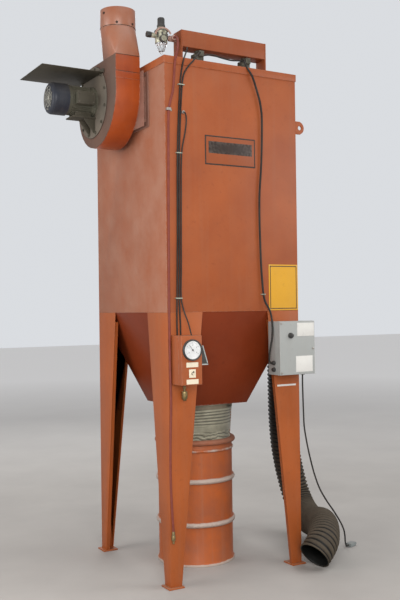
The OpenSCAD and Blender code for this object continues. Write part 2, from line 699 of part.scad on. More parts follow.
// Two label plates and a switch on the control box's cover
module control_plates() color("wheat") {
    for (z = [ctl_z + 5, ctl_z + 99]) translate([ctl_x + 29, ctl_front_y - 1.5, z]) cube([76, 1.5, 27]);
    translate([ctl_x + 45, ctl_front_y - 3, ctl_z + 41]) cube([42, 3, 47]);
    rod_front(ctl_x + 66, ctl_front_y - 3, ctl_z + 64, 5, 12);
}

// Sloping socket on the right side of the control box's cover
module side_socket() color("dimgray") {
    x = ctl_x + ctl_w;
    low_z = ctl_z + 108;
    front_plate([[x, low_z], [x + socket_out, low_z], [x + socket_out, low_z + 14], [x + 8, low_z + socket_h],
        [x, low_z + socket_h]], ctl_front_y + 3, socket_w);
}

module clean_air_tap() color("dimgray") rod_front(-344, -half_d, leg_h + 1144, 9, 14);

module starter_box() color("silver") translate([start_x, start_front_y + start_lid_d, start_z])
    cube([start_w, start_d - start_lid_d, start_h]);

module starter_lid() color("silver") translate([start_x, start_front_y, start_z]) cube([start_w, start_lid_d, start_h]);

// Push button, two cable connectors on the left side and one under the box
module starter_fittings() color("dimgray") {
    side_y = start_front_y + 58;
    button_z = start_z + start_h - button_down;
    rod_front(start_x + button_in, start_front_y, button_z, 17, 8);
    rod_front(start_x + button_in, start_front_y - 8, button_z, 12, 12);
    for (z = [start_z + 32, start_z + 72]) rod_left(start_x, side_y, z, 14, 8, 6);
    for (z = [start_z + 32, start_z + 72]) rod_left(start_x - 8, side_y, z, 11, 8, small_fn);
    translate([start_x + 212, start_front_y + 64, start_z - 8]) cylinder(r = 14, h = 8, $fn = small_fn);
}

module sign_plate() color("gold") translate([half_w - sign_w - 2, -half_d - plate_t, leg_h + 3])
    cube([sign_w, plate_t, sign_h]);

module name_plate() color("black") translate([-name_left - name_w / 2, -half_d - plate_t, leg_h + name_up])
    cube([name_w, plate_t, name_h]);

// Narrow label plate on the right leg
module leg_label() color("white") translate([half_w - 26 - label_w, -half_d - plate_t, start_z - 77])
    cube([label_w, plate_t, 11]);

module inlet_collar() color("chocolate") difference() {
    union() {
        rod_left(half_w + stub_l, stub_y, stub_z, stub_r, stub_l);
        rod_left(half_w + 4, stub_y, stub_z, stub_r + stub_flange, 4);
    }
    rod_left(half_w + stub_l + 1, stub_y, stub_z, stub_r - stub_t, stub_l + 2);
}

// Hose that is open at both ends and pushed over the inlet collar
module inlet_hose() color("dimgray") {
    last = len(inlet_route) - 1;
    past = 2 * inlet_route[last] - inlet_route[last - 1];
    sides = 24;
    inner = (stub_r + seat_gap) / cos(180 / sides);
    difference() {
        swept_tube(inlet_route, hose_r, sides, [0, 1, 0]);
        swept_tube(concat([[half_w, stub_y, stub_z]], inlet_route, [past]), inner, sides, [0, 1, 0]);
    }
}

module air_hose() color("maroon") swept_tube(hose_route, 6.5, 8, [1, 0, 0]);
module air_tube_left() color("black") swept_tube(left_route, 4.5, 8, [0, 0, 1]);
module air_tube_right() color("black") swept_tube(right_route, 4.5, 8, [0, 0, 1]);
module gauge_tube() color("black") swept_tube(gauge_route, 4, 8, [1, 0, 0]);
module valve_cable() color("black") swept_tube(valve_route, 6, 8, [0, 0, 1]);
module starter_cable() color("black") swept_tube(starter_route, 5, 8, [1, 0, 0]);

// Brass coupler on the hose's lower end
module hose_coupler() color("goldenrod") translate([-444, -495, 0]) {
    translate([0, 0, 304]) cylinder(r = 8, h = 22, $fn = small_fn);
    translate([0, 0, 276]) cylinder(r = 11, h = 28, $fn = small_fn);
    translate([0, 0, 258]) cylinder(r = 6, h = 18, $fn = small_fn);
}

module starter_plug() color("slategray") translate([926, -366, 0]) rotate([0, 0, 18]) {
    translate([0, -20, 0]) cube([62, 40, 24]);
    translate([62, -14, 4]) cube([16, 28, 16]);
}

front_panel();
back_panel();
left_panel();
right_panel();
top_lid();
hopper_shell();
hopper_outlet();
leg_front_left();
leg_front_right();
leg_back_left();
leg_back_right();
foot_plates();
lifting_lugs();
fabric_boot();
boot_strap();
drum_shell();
drum_ring();
fan_inlet_box();
fan_inner_plate();
fan_scroll_band();
fan_outer_plate();
fan_neck();
exhaust_collar();
motor_plate();
motor_body();
motor_fan_cover();
motor_box();
motor_bracket();
motor_shield();
air_header();
header_posts();
pulse_valve_left();
pulse_valve_right();
supply_pipe();
regulator();
regulator_knob();
filter_bowl();
control_box();
control_cover();
control_plates();
side_socket();
pressure_gauge();
pressure_tap();
clean_air_tap();
starter_box();
starter_lid();
starter_fittings();
sign_plate();
name_plate();
leg_label();
inlet_collar();
inlet_hose();
air_hose();
hose_coupler();
air_tube_left();
air_tube_right();
gauge_tube();
valve_cable();
starter_cable();
starter_plug();
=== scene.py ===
"""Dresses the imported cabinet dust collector: finishes, fittings, cloth boot, ribbed hose, free lines and studio."""
import logging
import math
from dataclasses import dataclass
from enum import Enum
from typing import Iterable, Sequence

import bpy
from mathutils import Matrix, Vector, noise


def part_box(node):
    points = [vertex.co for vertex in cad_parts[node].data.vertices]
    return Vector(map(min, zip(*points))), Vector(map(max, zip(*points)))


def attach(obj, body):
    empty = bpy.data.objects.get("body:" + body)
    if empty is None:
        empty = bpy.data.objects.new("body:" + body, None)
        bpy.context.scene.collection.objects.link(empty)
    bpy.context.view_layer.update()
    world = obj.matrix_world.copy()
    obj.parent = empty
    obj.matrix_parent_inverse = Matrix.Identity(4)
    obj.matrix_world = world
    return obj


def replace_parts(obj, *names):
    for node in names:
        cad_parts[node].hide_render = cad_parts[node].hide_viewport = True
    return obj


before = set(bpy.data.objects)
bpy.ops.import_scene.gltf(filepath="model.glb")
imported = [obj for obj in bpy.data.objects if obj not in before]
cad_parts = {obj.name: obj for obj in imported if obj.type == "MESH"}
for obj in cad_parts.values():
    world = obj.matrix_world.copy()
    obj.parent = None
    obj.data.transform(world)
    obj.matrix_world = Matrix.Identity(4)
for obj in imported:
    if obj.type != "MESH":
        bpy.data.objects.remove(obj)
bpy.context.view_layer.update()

LOG = logging.getLogger("dust_collector")
Point = Sequence[float]


class Axis(Enum):
    """A direction in the part's frame."""

    X = (1.0, 0.0, 0.0)
    Y = (0.0, 1.0, 0.0)
    Z = (0.0, 0.0, 1.0)
    LEFT = (-1.0, 0.0, 0.0)
    FRONT = (0.0, -1.0, 0.0)

    @property
    def vector(self) -> Vector:
        """The direction as a vector."""
        return Vector(self.value)


def aimed(place: Point, along: Point, track: str = "Z") -> Matrix:
    """The placing of a piece at a point, with its tracked axis along a direction."""
    return Matrix.Translation(Vector(place)) @ Vector(along).to_track_quat(track, "Y").to_matrix().to_4x4()


def spoke(angle: float, axis: Axis = Axis.Z) -> Vector:
    """The direction at an angle in radians round an axis."""
    across, up = math.cos(angle), math.sin(angle)
    return Vector({Axis.X: (0, across, up), Axis.Y: (across, 0, up), Axis.Z: (across, up, 0)}[axis])


def clamped(value: float) -> float:
    """A value held between 0 and 1."""
    return min(1.0, max(0.0, value))


def middle_of(low: Point, high: Point) -> Vector:
    """The point halfway between two others."""
    return (Vector(low) + Vector(high)) / 2


def tube_faces(rings: int, sides: int, closed: bool = False) -> list[tuple[int, ...]]:
    """Faces between rings of points, each ring with as many points as it has sides.

    Args:
        rings: number of rings.
        sides: number of points in each ring.
        closed: whether the last ring joins the first one.

    Returns:
        The faces, as places in the list of all the points.
    """
    faces = []
    for i in range(rings if closed else rings - 1):
        first, second = i * sides, (i + 1) % rings * sides
        for k in range(sides):
            n = (k + 1) % sides
            faces.append((first + k, first + n, second + n, second + k))
    return faces


class Workshop:
    """Mesh making with the tools that a modeller uses by hand."""

    @staticmethod
    def deselect() -> None:
        """Leave object mode on and nothing selected."""
        if bpy.context.object and bpy.context.object.mode != "OBJECT":
            bpy.ops.object.mode_set(mode="OBJECT")
        bpy.ops.object.select_all(action="DESELECT")

    @staticmethod
    def linked(name: str, data: bpy.types.ID) -> bpy.types.Object:
        """A new object in the scene that holds a mesh, a curve, a lamp or a camera."""
        piece = bpy.data.objects.new(name, data)
        bpy.context.scene.collection.objects.link(piece)
        return piece

    @classmethod
    def choose(cls, *pieces: bpy.types.Object) -> None:
        """Select these pieces only, the first one active."""
        cls.deselect()
        for piece in pieces:
            piece.select_set(True)
        bpy.context.view_layer.objects.active = pieces[0]

    @classmethod
    def settle(cls, piece: bpy.types.Object) -> bpy.types.Object:
        """Move a piece's place into its mesh."""
        cls.choose(piece)
        bpy.ops.object.transform_apply(location=True, rotation=True, scale=True)
        return piece

    @classmethod
    def apply_all(cls, piece: bpy.types.Object) -> None:
        """Apply every modifier of a piece, from the top."""
        cls.choose(piece)
        for modifier in list(piece.modifiers):
            bpy.ops.object.modifier_apply(modifier=modifier.name)

    @classmethod
    def placed(cls, name: str, matrix: Matrix | None = None) -> bpy.types.Object:
        """Name the piece that was just made, put it in its place and move that place into its mesh."""
        piece = bpy.context.object
        piece.name = name
        if matrix is not None:
            piece.matrix_world = matrix
        return cls.settle(piece)

    @classmethod
    def soften(cls, piece: bpy.types.Object, width: float, segments: int = 2, angle: float = 30.0) -> bpy.types.Object:
        """Round a piece's edges and shade it smooth.

        Args:
            piece: the mesh to work on.
            width: width of the rounding in metres, or 0 for none.
            segments: faces across the rounding.
            angle: edges sharper than this many degrees are rounded.

        Returns:
            The same piece.
        """
        cls.choose(piece)
        if width > 0:
            bevel = piece.modifiers.new("edge_round", "BEVEL")
            bevel.width = width
            bevel.segments = segments
            bevel.limit_method = "ANGLE"
            bevel.angle_limit = math.radians(angle)
            bevel.harden_normals = False
            cls.apply_all(piece)
        cls.choose(piece)
        bpy.ops.object.shade_smooth_by_angle(angle=math.radians(angle + 6))
        return piece

    @classmethod
    def copy_of(cls, node: str, width: float, segments: int = 2) -> bpy.types.Object:
        """A merged and edge-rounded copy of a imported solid, which it stands for.

        Args:
            node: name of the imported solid.
            width: width of the rounded edges in metres.
            segments: faces across the rounding.

        Returns:
            The new piece, not yet dressed.
        """
        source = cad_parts[node]
        piece = cls.linked(node + "_skin", source.data.copy())
        piece.data.materials.clear()
        cls.choose(piece)
        bpy.ops.object.mode_set(mode="EDIT")
        bpy.ops.mesh.select_all(action="SELECT")
        bpy.ops.mesh.remove_doubles(threshold=0.00002)
        bpy.ops.mesh.dissolve_limited(angle_limit=math.radians(0.6))
        bpy.ops.object.mode_set(mode="OBJECT")
        cls.soften(piece, width, segments)
        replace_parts(piece, node)
        return piece

    @classmethod
    def block(cls, name: str, low: Point, high: Point, width: float = 0.001) -> bpy.types.Object:
        """A block with rounded edges between two corners."""
        cls.deselect()
        bpy.ops.mesh.primitive_cube_add(size=1.0, location=middle_of(low, high))
        piece = bpy.context.object
        piece.name = name
        piece.scale = [b - a for a, b in zip(low, high)]
        cls.settle(piece)
        return cls.soften(piece, width)

    @classmethod
    def rod(
        cls, name: str, start: Point, end: Point, radius: float, sides: int = 32, width: float = 0.0008,
        tip: float | None = None,
    ) -> bpy.types.Object:
        """A round or many-sided rod between two points, with rounded ends.

        Args:
            name: name of the piece.
            start: middle of the first end.
            end: middle of the other end.
            radius: radius at the first end.
            sides: number of sides.
            width: width of the rounded edges.
            tip: radius at the other end, where it differs.

        Returns:
            The new piece.
        """
        cls.deselect()
        a, b = Vector(start), Vector(end)
        if tip is None:
            bpy.ops.mesh.primitive_cylinder_add(vertices=sides, radius=radius, depth=(b - a).length)
        else:
            bpy.ops.mesh.primitive_cone_add(vertices=sides, radius1=radius, radius2=tip, depth=(b - a).length)
        return cls.soften(cls.placed(name, aimed((a + b) / 2, b - a)), width)

    @classmethod
    def turned(cls, name: str, profile: Sequence[tuple[float, float]], start: Point, along: Vector,
               sides: int = 48) -> bpy.types.Object:
        """A lathe-turned piece.

        Args:
            name: name of the piece.
            profile: radius and distance pairs from one end to the other, closed at the axis.
            start: the point on the axis that distance 0 means.
            along: direction of the axis.
            sides: number of sides round the axis.

        Returns:
            The new piece.
        """
        cls.deselect()
        bpy.ops.mesh.primitive_circle_add(vertices=sides, radius=profile[0][0], fill_type="NGON",
                                          location=(0, 0, profile[0][1]))
        cls.placed(name)
        bpy.ops.object.mode_set(mode="EDIT")
        bpy.ops.mesh.select_all(action="SELECT")
        for (near, low), (far, high) in zip(profile, profile[1:]):
            bpy.ops.mesh.extrude_region_move(TRANSFORM_OT_translate={"value": (0, 0, high - low)})
            bpy.ops.transform.resize(value=(far / near, far / near, 1), center_override=(0, 0, 0))
        bpy.ops.mesh.select_all(action="SELECT")
        bpy.ops.mesh.normals_make_consistent(inside=False)
        bpy.ops.object.mode_set(mode="OBJECT")
        return cls.soften(cls.placed(name, aimed(start, along)), 0, angle=26)

    @classmethod
    def band(cls, name: str, middle: Point, along: Vector, radius: float, width: float, thick: float,
             sides: int = 72) -> bpy.types.Object:
        """A flat strip of sheet bent to a ring, with its inside at a radius."""
        cls.deselect()
        bpy.ops.mesh.primitive_cylinder_add(vertices=sides, radius=radius, depth=width, end_fill_type="NOTHING")
        piece = bpy.context.object
        wall = piece.modifiers.new("sheet", "SOLIDIFY")
        wall.thickness = thick
        wall.offset = 1.0
        cls.apply_all(piece)
        return cls.soften(cls.placed(name, aimed(middle, along)), thick / 4)

    @classmethod
    def raw(cls, name: str, points: Iterable[Point], faces: Iterable[Sequence[int]],
            crests: Sequence[float] = ()) -> bpy.types.Object:
        """A mesh straight from points and faces, its normals made to face outwards.

        Args:
            name: name of the piece.
            points: its points.
            faces: its faces, as places in the list of points.
            crests: how far each point stands out, from 0 to 1, kept as the attribute crest.

        Returns:
            The new piece.
        """
        mesh = bpy.data.meshes.new(name)
        mesh.from_pydata([tuple(p) for p in points], [], [tuple(f) for f in faces])
        if crests:
            mesh.attributes.new("crest", "FLOAT", "POINT").data.foreach_set("value", list(crests))
        piece = cls.linked(name, mesh)
        cls.choose(piece)
        bpy.ops.object.mode_set(mode="EDIT")
        bpy.ops.mesh.select_all(action="SELECT")
        bpy.ops.mesh.remove_doubles(threshold=0.000005)
        bpy.ops.mesh.normals_make_consistent(inside=False)
        bpy.ops.object.mode_set(mode="OBJECT")
        return piece

    @classmethod
    def ring(cls, name: str, middle: Point, along: Vector, radius: float, thick: float,
             sides: int = 64) -> bpy.types.Object:
        """A round wire or bead bent to a ring."""
        cls.deselect()
        bpy.ops.mesh.primitive_torus_add(
            major_radius=radius, minor_radius=thick, major_segments=sides, minor_segments=10,
            location=middle, rotation=Vector(along).to_track_quat("Z", "Y").to_euler(),
        )
        piece = cls.placed(name)
        bpy.ops.object.shade_smooth()
        return piece

    @classmethod
    def joined(cls, name: str, pieces: Sequence[bpy.types.Object]) -> bpy.types.Object:
        """Several meshes joined into one piece."""
        cls.choose(*pieces)
        if len(pieces) > 1:
            bpy.ops.object.join()
        piece = bpy.context.object
        piece.name = name
        return piece

    @classmethod
    def hex_heads(cls, name: str, places: Sequence[Point], out: Vector, radius: float = 0.0085,
                  height: float = 0.006) -> bpy.types.Object:
        """Hexagon bolt heads on washers, one at each place, modelled once and copied.

        Args:
            name: name of the joined piece.
            places: points on the surface that the washers lie on.
            out: direction that the heads stand out to.
            radius: corner radius of a head.
            height: height of a head.

        Returns:
            One piece with all the heads.
        """
        out = Vector(out).normalized()
        thick = 0.0016
        washer = cls.rod("washer", (0, 0, 0), out * thick, radius * 1.35, 20, 0.0004)
        head = cls.rod("head", out * thick, out * (thick + height), radius, 6, 0.0008)
        first = cls.joined(name, [head, washer])
        heads = [first]
        for place in places[1:]:
            other = cls.linked(name, first.data.copy())
            other.location = place
            heads.append(other)
        first.location = places[0]
        for head in heads:
            cls.settle(head)
        return cls.joined(name, heads)


NodePlan = tuple[str, dict, dict]


def reach(low: float = 0.0, high: float = 1.0, least: float = 0.0, most: float = 1.0, clamp: bool = True) -> NodePlan:
    """The plan of a node that maps one range of numbers to another."""
    return "MapRange", {"clamp": clamp}, {1: low, 2: high, 3: least, 4: most}


def cloud(scale: float = 5.0, detail: float = 2.0, roughness: float = 0.5) -> NodePlan:
    """The plan of a noise node."""
    return "TexNoise", {}, {"Scale": scale, "Detail": detail, "Roughness": roughness}


def maths(operation: str, kind: str = "Math") -> NodePlan:
    """The plan of a node that reckons with numbers or vectors."""
    return kind, {"operation": operation}, {}


def plain(kind: str, **settings: str) -> NodePlan:
    """The plan of a node with settings and no input values of its own."""
    return kind, settings, {}


def wire(tree: bpy.types.NodeTree, nodes: dict[str, NodePlan], links: str,
         known: dict[str, bpy.types.Node]) -> dict[str, bpy.types.Node]:
    """Add nodes and links to a tree.

    Args:
        tree: the tree to add to.
        nodes: the plan of each new node, by the name that the links use.
        links: pairs such as "grit.Fac > cut.Value", with semicolons between them; a socket is a name or a place.
        known: nodes that the tree holds already, by name.

    Returns:
        All the nodes by name, known and new.
    """
    found = dict(known)
    for label, (kind, settings, values) in nodes.items():
        node = found[label] = tree.nodes.new("ShaderNode" + kind)
        for key, value in settings.items():
            setattr(node, key, value)
        for key, value in values.items():
            node.inputs[key].default_value = value
    for pair in links.split(";"):
        (source, out), (target, into) = (end.strip().split(".") for end in pair.split(">"))
        tree.links.new(found[source].outputs[int(out) if out.isdigit() else out],
                       found[target].inputs[int(into) if into.isdigit() else into])
    return found


@dataclass(frozen=True)
class Plan:
    """What a shader node group is made of.

    Attributes:
        inputs: default of each input; the one without a number is a vector.
        output: name of its one output, a number.
        nodes: the plan of each node by its name in the links.
        links: the links, where start and end are the group's own ends.
    """

    inputs: dict[str, float | None]
    output: str
    nodes: dict[str, NodePlan]
    links: str


class Groups:
    """Shader node groups that more than one finish uses, each made once."""

    PLANS = {
        # Soft uneven patches at a scale.
        "Blotches": Plan(
            {"Vector": None, "Scale": 3.0, "Low": 0.35, "High": 0.7}, "Mask",
            {"wide": cloud(detail=5.0, roughness=0.6), "spread": reach()},
            "start.Vector > wide.Vector; start.Scale > wide.Scale; wide.Fac > spread.Value;"
            "start.Low > spread.From Min; start.High > spread.From Max; spread.Result > end.Mask"),
        # Long thin streaks that run down a wall.
        "Runs": Plan(
            {"Vector": None, "Low": 0.5, "High": 0.72}, "Mask",
            {"stretch": ("Mapping", {}, {"Scale": (38.0, 38.0, 0.9)}), "thin": cloud(1.0, 4.0), "spread": reach()},
            "start.Vector > stretch.Vector; stretch.Vector > thin.Vector; thin.Fac > spread.Value;"
            "start.Low > spread.From Min; start.High > spread.From Max; spread.Result > end.Mask"),
        # Where paint is rubbed away: on sharp edges, broken up by a fine noise.
        "Rubbed edges": Plan(
            {"Vector": None, "Radius": 0.004, "Amount": 0.5}, "Mask",
            {"rounded": ("Bevel", {"samples": 4}, {}), "flat": plain("NewGeometry"),
             "dot": maths("DOT_PRODUCT", "VectorMath"), "turn": reach(0.995, 0.86), "grit": cloud(60.0, 4.0),
             "cut": reach(0.42, 0.58), "both": maths("MULTIPLY"), "much": maths("MULTIPLY")},
            "start.Radius > rounded.Radius; rounded.Normal > dot.0; flat.Normal > dot.1; dot.Value > turn.Value;"
            "start.Vector > grit.Vector; grit.Fac > cut.Value; turn.Result > both.0; cut.Result > both.1;"
            "both.Value > much.0; start.Amount > much.1; much.Value > end.Mask"),
        # Pale ribs of a round drum, rubbed paint together with a painted highlight on their crests: outside a radius
        # from its upright axis.
        "Worn and highlit ribs": Plan(
            {"Vector": None, "Axis": 0.0, "Radius": 0.24}, "Mask",
            {"split": plain("SeparateXYZ"), "aside": maths("SUBTRACT"), "flat": plain("CombineXYZ"),
             "away": maths("LENGTH", "VectorMath"), "past": maths("SUBTRACT"), "grit": cloud(24.0, 5.0),
             "sway": reach(0.0, 1.0, -0.007, 0.007, clamp=False), "total": maths("ADD"), "edge": reach(0.0, 0.0035)},
            "start.Vector > split.Vector; split.X > aside.0; start.Axis > aside.1; aside.Value > flat.X;"
            "split.Y > flat.Y; flat.Vector > away.0; away.Value > past.0; start.Radius > past.1;"
            "start.Vector > grit.Vector; grit.Fac > sway.Value; past.Value > total.0; sway.Result > total.1;"
            "total.Value > edge.Value; edge.Result > end.Mask"),
        # Dust that lies on faces that look up, uneven, and thin on walls.
        "Settled dust": Plan(
            {"Vector": None, "Top": 0.7, "Wall": 0.15}, "Mask",
            {"flat": plain("NewGeometry"), "split": plain("SeparateXYZ"), "up": reach(0.1, 0.9),
             "patch": cloud(6.0, 7.0, 0.65), "even": reach(0.3, 0.7), "amount": plain("Mix", data_type="FLOAT"),
             "both": maths("MULTIPLY")},
            "flat.Normal > split.Vector; split.Z > up.Value; up.Result > amount.0; start.Wall > amount.2;"
            "start.Top > amount.3; start.Vector > patch.Vector; patch.Fac > even.Value; amount.0 > both.0;"
            "even.Result > both.1; both.Value > end.Mask"),
        # A fine bumpy surface as a height.
        "Grain": Plan(
            {"Vector": None, "Scale": 300.0}, "Height", {"fine": cloud(detail=3.0)},
            "start.Vector > fine.Vector; start.Scale > fine.Scale; fine.Fac > end.Height"),
    }
    made: dict[str, bpy.types.ShaderNodeTree] = {}

    @classmethod
    def get(cls, name: str) -> bpy.types.ShaderNodeTree:
        """The group of a plan, made on its first use."""
        if name in cls.made:
            return cls.made[name]
        plan = cls.PLANS[name]
        tree = cls.made[name] = bpy.data.node_groups.new(name, "ShaderNodeTree")
        for label, value in plan.inputs.items():
            kind = "NodeSocketVector" if value is None else "NodeSocketFloat"
            socket = tree.interface.new_socket(name=label, in_out="INPUT", socket_type=kind)
            if value is not None:
                socket.default_value = value
        tree.interface.new_socket(name=plan.output, in_out="OUTPUT", socket_type="NodeSocketFloat")
        ends = {"start": tree.nodes.new("NodeGroupInput"), "end": tree.nodes.new("NodeGroupOutput")}
        wire(tree, plan.nodes, plan.links, ends)
        return tree


class Bench:
    """A material's node tree while a finish is put together."""

    def __init__(self, name: str) -> None:
        """Start a material with its shader and its object coordinates."""
        self.material = bpy.data.materials.new(name)
        self.material.use_nodes = True
        self.tree = self.material.node_tree
        self.shader = self.tree.nodes["Principled BSDF"]
        self.spot = self.tree.nodes.new("ShaderNodeTexCoord")

    def link(self, source, target) -> None:
        """Link one socket to another."""
        self.tree.links.new(source, target)

    def wire(self, nodes: dict[str, NodePlan], links: str) -> dict[str, bpy.types.Node]:
        """Add nodes and links, in which spot is the object coordinates' node."""
        return wire(self.tree, nodes, links, {"spot": self.spot})

    def group(self, name: str, **values: float):
        """The output of a node group, with its plain input values set."""
        node = self.tree.nodes.new("ShaderNodeGroup")
        node.node_tree = Groups.get(name)
        self.link(self.spot.outputs["Object"], node.inputs["Vector"])
        for key, value in values.items():
            node.inputs[key.capitalize()].default_value = value
        return node.outputs[0]

    def mixed(self, mask, first, second):
        """A colour between two others by a mask; each is a socket or a colour."""
        mix = self.tree.nodes.new("ShaderNodeMix")
        mix.data_type = "RGBA"
        self.link(mask, mix.inputs[0])
        for slot, colour in ((6, first), (7, second)):
            if isinstance(colour, tuple):
                mix.inputs[slot].default_value = (*colour, 1.0)
            else:
                self.link(colour, mix.inputs[slot])
        return mix.outputs[2]

    def level(self, mask, low: float, high: float):
        """A number between two others by a mask."""
        node = self.tree.nodes.new("ShaderNodeMapRange")
        node.inputs["To Min"].default_value = low
        node.inputs["To Max"].default_value = high
        self.link(mask, node.inputs["Value"])
        return node.outputs["Result"]

    def bump(self, height, strength: float, distance: float, below=None):
        """A normal from a height, on top of another normal."""
        node = self.tree.nodes.new("ShaderNodeBump")
        node.inputs["Strength"].default_value = strength
        node.inputs["Distance"].default_value = distance
        self.link(height, node.inputs["Height"])
        if below is not None:
            self.link(below, node.inputs["Normal"])
        return node.outputs["Normal"]

    def skin(self, scale: float, strength: float, distance: float, below=None) -> None:
        """Roughen the surface with a fine grain, on top of another normal."""
        self.feed("Normal", self.bump(self.group("Grain", scale=scale), strength, distance, below))

    def feed(self, socket: str, source) -> None:
        """Link a source into one of the shader's inputs."""
        self.link(source, self.shader.inputs[socket])

    def set(self, **values: float) -> None:
        """Set plain values on the shader's own sockets."""
        for key, value in values.items():
            self.shader.inputs[key.replace("_", " ").title().replace("Ior", "IOR")].default_value = value


Colour = tuple[float, float, float]


def scaled(colour: Colour, factor: float, lift: float = 0.0) -> Colour:
    """A colour made lighter or darker, none of its parts over 1."""
    return tuple(min(1.0, factor * part + lift) for part in colour)


@dataclass(frozen=True)
class Finish:
    """What every finish has: a name, a material slot and a main colour."""

    name: str
    slot: str
    colour: Colour

    def build(self) -> bpy.types.Material:
        """Make the material."""
        raise NotImplementedError


@dataclass(frozen=True)
class Paint(Finish):
    """Painted sheet: colour patches, runs, dust, rubbed edges and a fine skin."""

    shade: Colour
    dust: Colour = (0.36, 0.27, 0.21)
    bare: Colour = (0.42, 0.36, 0.31)
    rough: float = 0.42
    top_dust: float = 0.75
    wall_dust: float = 0.2
    rub: float = 0.6
    rub_radius: float = 0.004
    run: float = 0.16
    patch: float = 2.2
    specular: float = 0.3
    wear_radius: float = 0.0
    wear_axis: float = 0.0

    def build(self) -> bpy.types.Material:
        """Make the material."""
        bench = Bench(self.name)
        colour = bench.mixed(bench.group("Blotches", scale=self.patch, low=0.36, high=0.66), self.colour, self.shade)
        specks = bench.group("Blotches", scale=34.0, low=0.60, high=0.78)
        colour = bench.mixed(bench.level(specks, 0.0, 0.5), colour, scaled(self.shade, 0.72))
        colour = bench.mixed(bench.level(bench.group("Runs"), 0.0, self.run), colour, self.dust)
        dust = bench.group("Settled dust", top=self.top_dust, wall=self.wall_dust)
        colour = bench.mixed(dust, colour, self.dust)
        if self.rub > 0:
            pale_mask = bench.group("Rubbed edges", radius=self.rub_radius, amount=self.rub)
            colour = bench.mixed(pale_mask, colour, self.bare)
        # wear and painted highlight: outside a radius the drum's ribs turn pale, standing for rubbed paint and for the
        # light caught on their crests
        if self.wear_radius > 0:
            pale_mask = bench.group("Worn and highlit ribs", axis=self.wear_axis, radius=self.wear_radius)
            colour = bench.mixed(pale_mask, colour, self.bare)
        bench.feed("Base Color", colour)
        bench.feed("Roughness", bench.level(dust, self.rough, min(0.95, self.rough + 0.4)))
        dents = bench.group("Blotches", scale=5.0, low=0.2, high=0.8)
        bench.skin(260.0, 0.08, 0.0006, bench.bump(dents, 0.10, 0.004))
        bench.set(specular_ior_level=self.specular)
        return bench.material


@dataclass(frozen=True)
class RibbedRubber(Finish):
    """Ribbed hose: near-black, which stands for painted shade on its grooves and its upper run, with pale olive dust on
    its crests near the floor.
    """

    dust: Colour

    def build(self) -> bpy.types.Material:
        """Make the material."""
        bench = Bench(self.name)
        nodes = bench.wire(
            # painted shade: above the floor and in the grooves the hose stays near black; only crests near the floor
            # take the dust colour
            {"crest": plain("Attribute", attribute_name="crest"), "high": reach(0.22, 0.62),
             "split": plain("SeparateXYZ"), "near_floor": reach(0.78, 0.30, 0.05, 1.0), "much": maths("MULTIPLY"),
             "less": maths("MULTIPLY")},
            "crest.Fac > high.Value; spot.Object > split.Vector; split.Z > near_floor.Value;"
            "high.Result > much.0; near_floor.Result > much.1; much.Value > less.0")
        patches = bench.group("Blotches", scale=9.0, low=0.3, high=0.7)
        bench.link(bench.level(patches, 0.65, 1.0), nodes["less"].inputs[1])
        dusty = nodes["less"].outputs["Value"]
        bench.feed("Base Color", bench.mixed(dusty, self.colour, self.dust))
        bench.feed("Roughness", bench.level(dusty, 0.5, 0.85))
        bench.skin(380.0, 0.15, 0.0005)
        bench.set(specular_ior_level=0.2)
        return bench.material


@dataclass(frozen=True)
class Metal(Finish):
    """Bare or plated metal with tarnish and dust."""

    tarnish: Colour
    rough: float = 0.4
    metallic: float = 0.9
    top_dust: float = 0.5
    wall_dust: float = 0.15
    dust: Colour = (0.30, 0.25, 0.21)

    def build(self) -> bpy.types.Material:
        """Make the material."""
        bench = Bench(self.name)
        patches = bench.group("Blotches", scale=40.0, low=0.35, high=0.68)
        colour = bench.mixed(patches, self.colour, self.tarnish)
        dust = bench.group("Settled dust", top=self.top_dust, wall=self.wall_dust)
        bench.feed("Base Color", bench.mixed(dust, colour, self.dust))
        bench.feed("Roughness", bench.level(patches, self.rough, min(0.9, self.rough + 0.25)))
        bench.feed("Metallic", bench.level(dust, self.metallic, 0.1))
        bench.skin(500.0, 0.12, 0.0004)
        return bench.material


@dataclass(frozen=True)
class Plastic(Finish):
    """Moulded plastic or rubber with a fine skin and a film of dust."""

    rough: float = 0.5
    dust: Colour = (0.26, 0.23, 0.20)
    top_dust: float = 0.4
    wall_dust: float = 0.12
    grain: float = 420.0
    coat: float = 0.0
    specular: float = 0.5

    def build(self) -> bpy.types.Material:
        """Make the material."""
        bench = Bench(self.name)
        patches = bench.group("Blotches", scale=22.0, low=0.35, high=0.7)
        colour = bench.mixed(bench.level(patches, 0.0, 0.6), self.colour, scaled(self.colour, 1.5, 0.01))
        dust = bench.group("Settled dust", top=self.top_dust, wall=self.wall_dust)
        bench.feed("Base Color", bench.mixed(dust, colour, self.dust))
        bench.feed("Roughness", bench.level(dust, self.rough, min(0.95, self.rough + 0.3)))
        bench.skin(self.grain, 0.15, 0.0005)
        bench.set(coat_weight=self.coat, specular_ior_level=self.specular)
        return bench.material


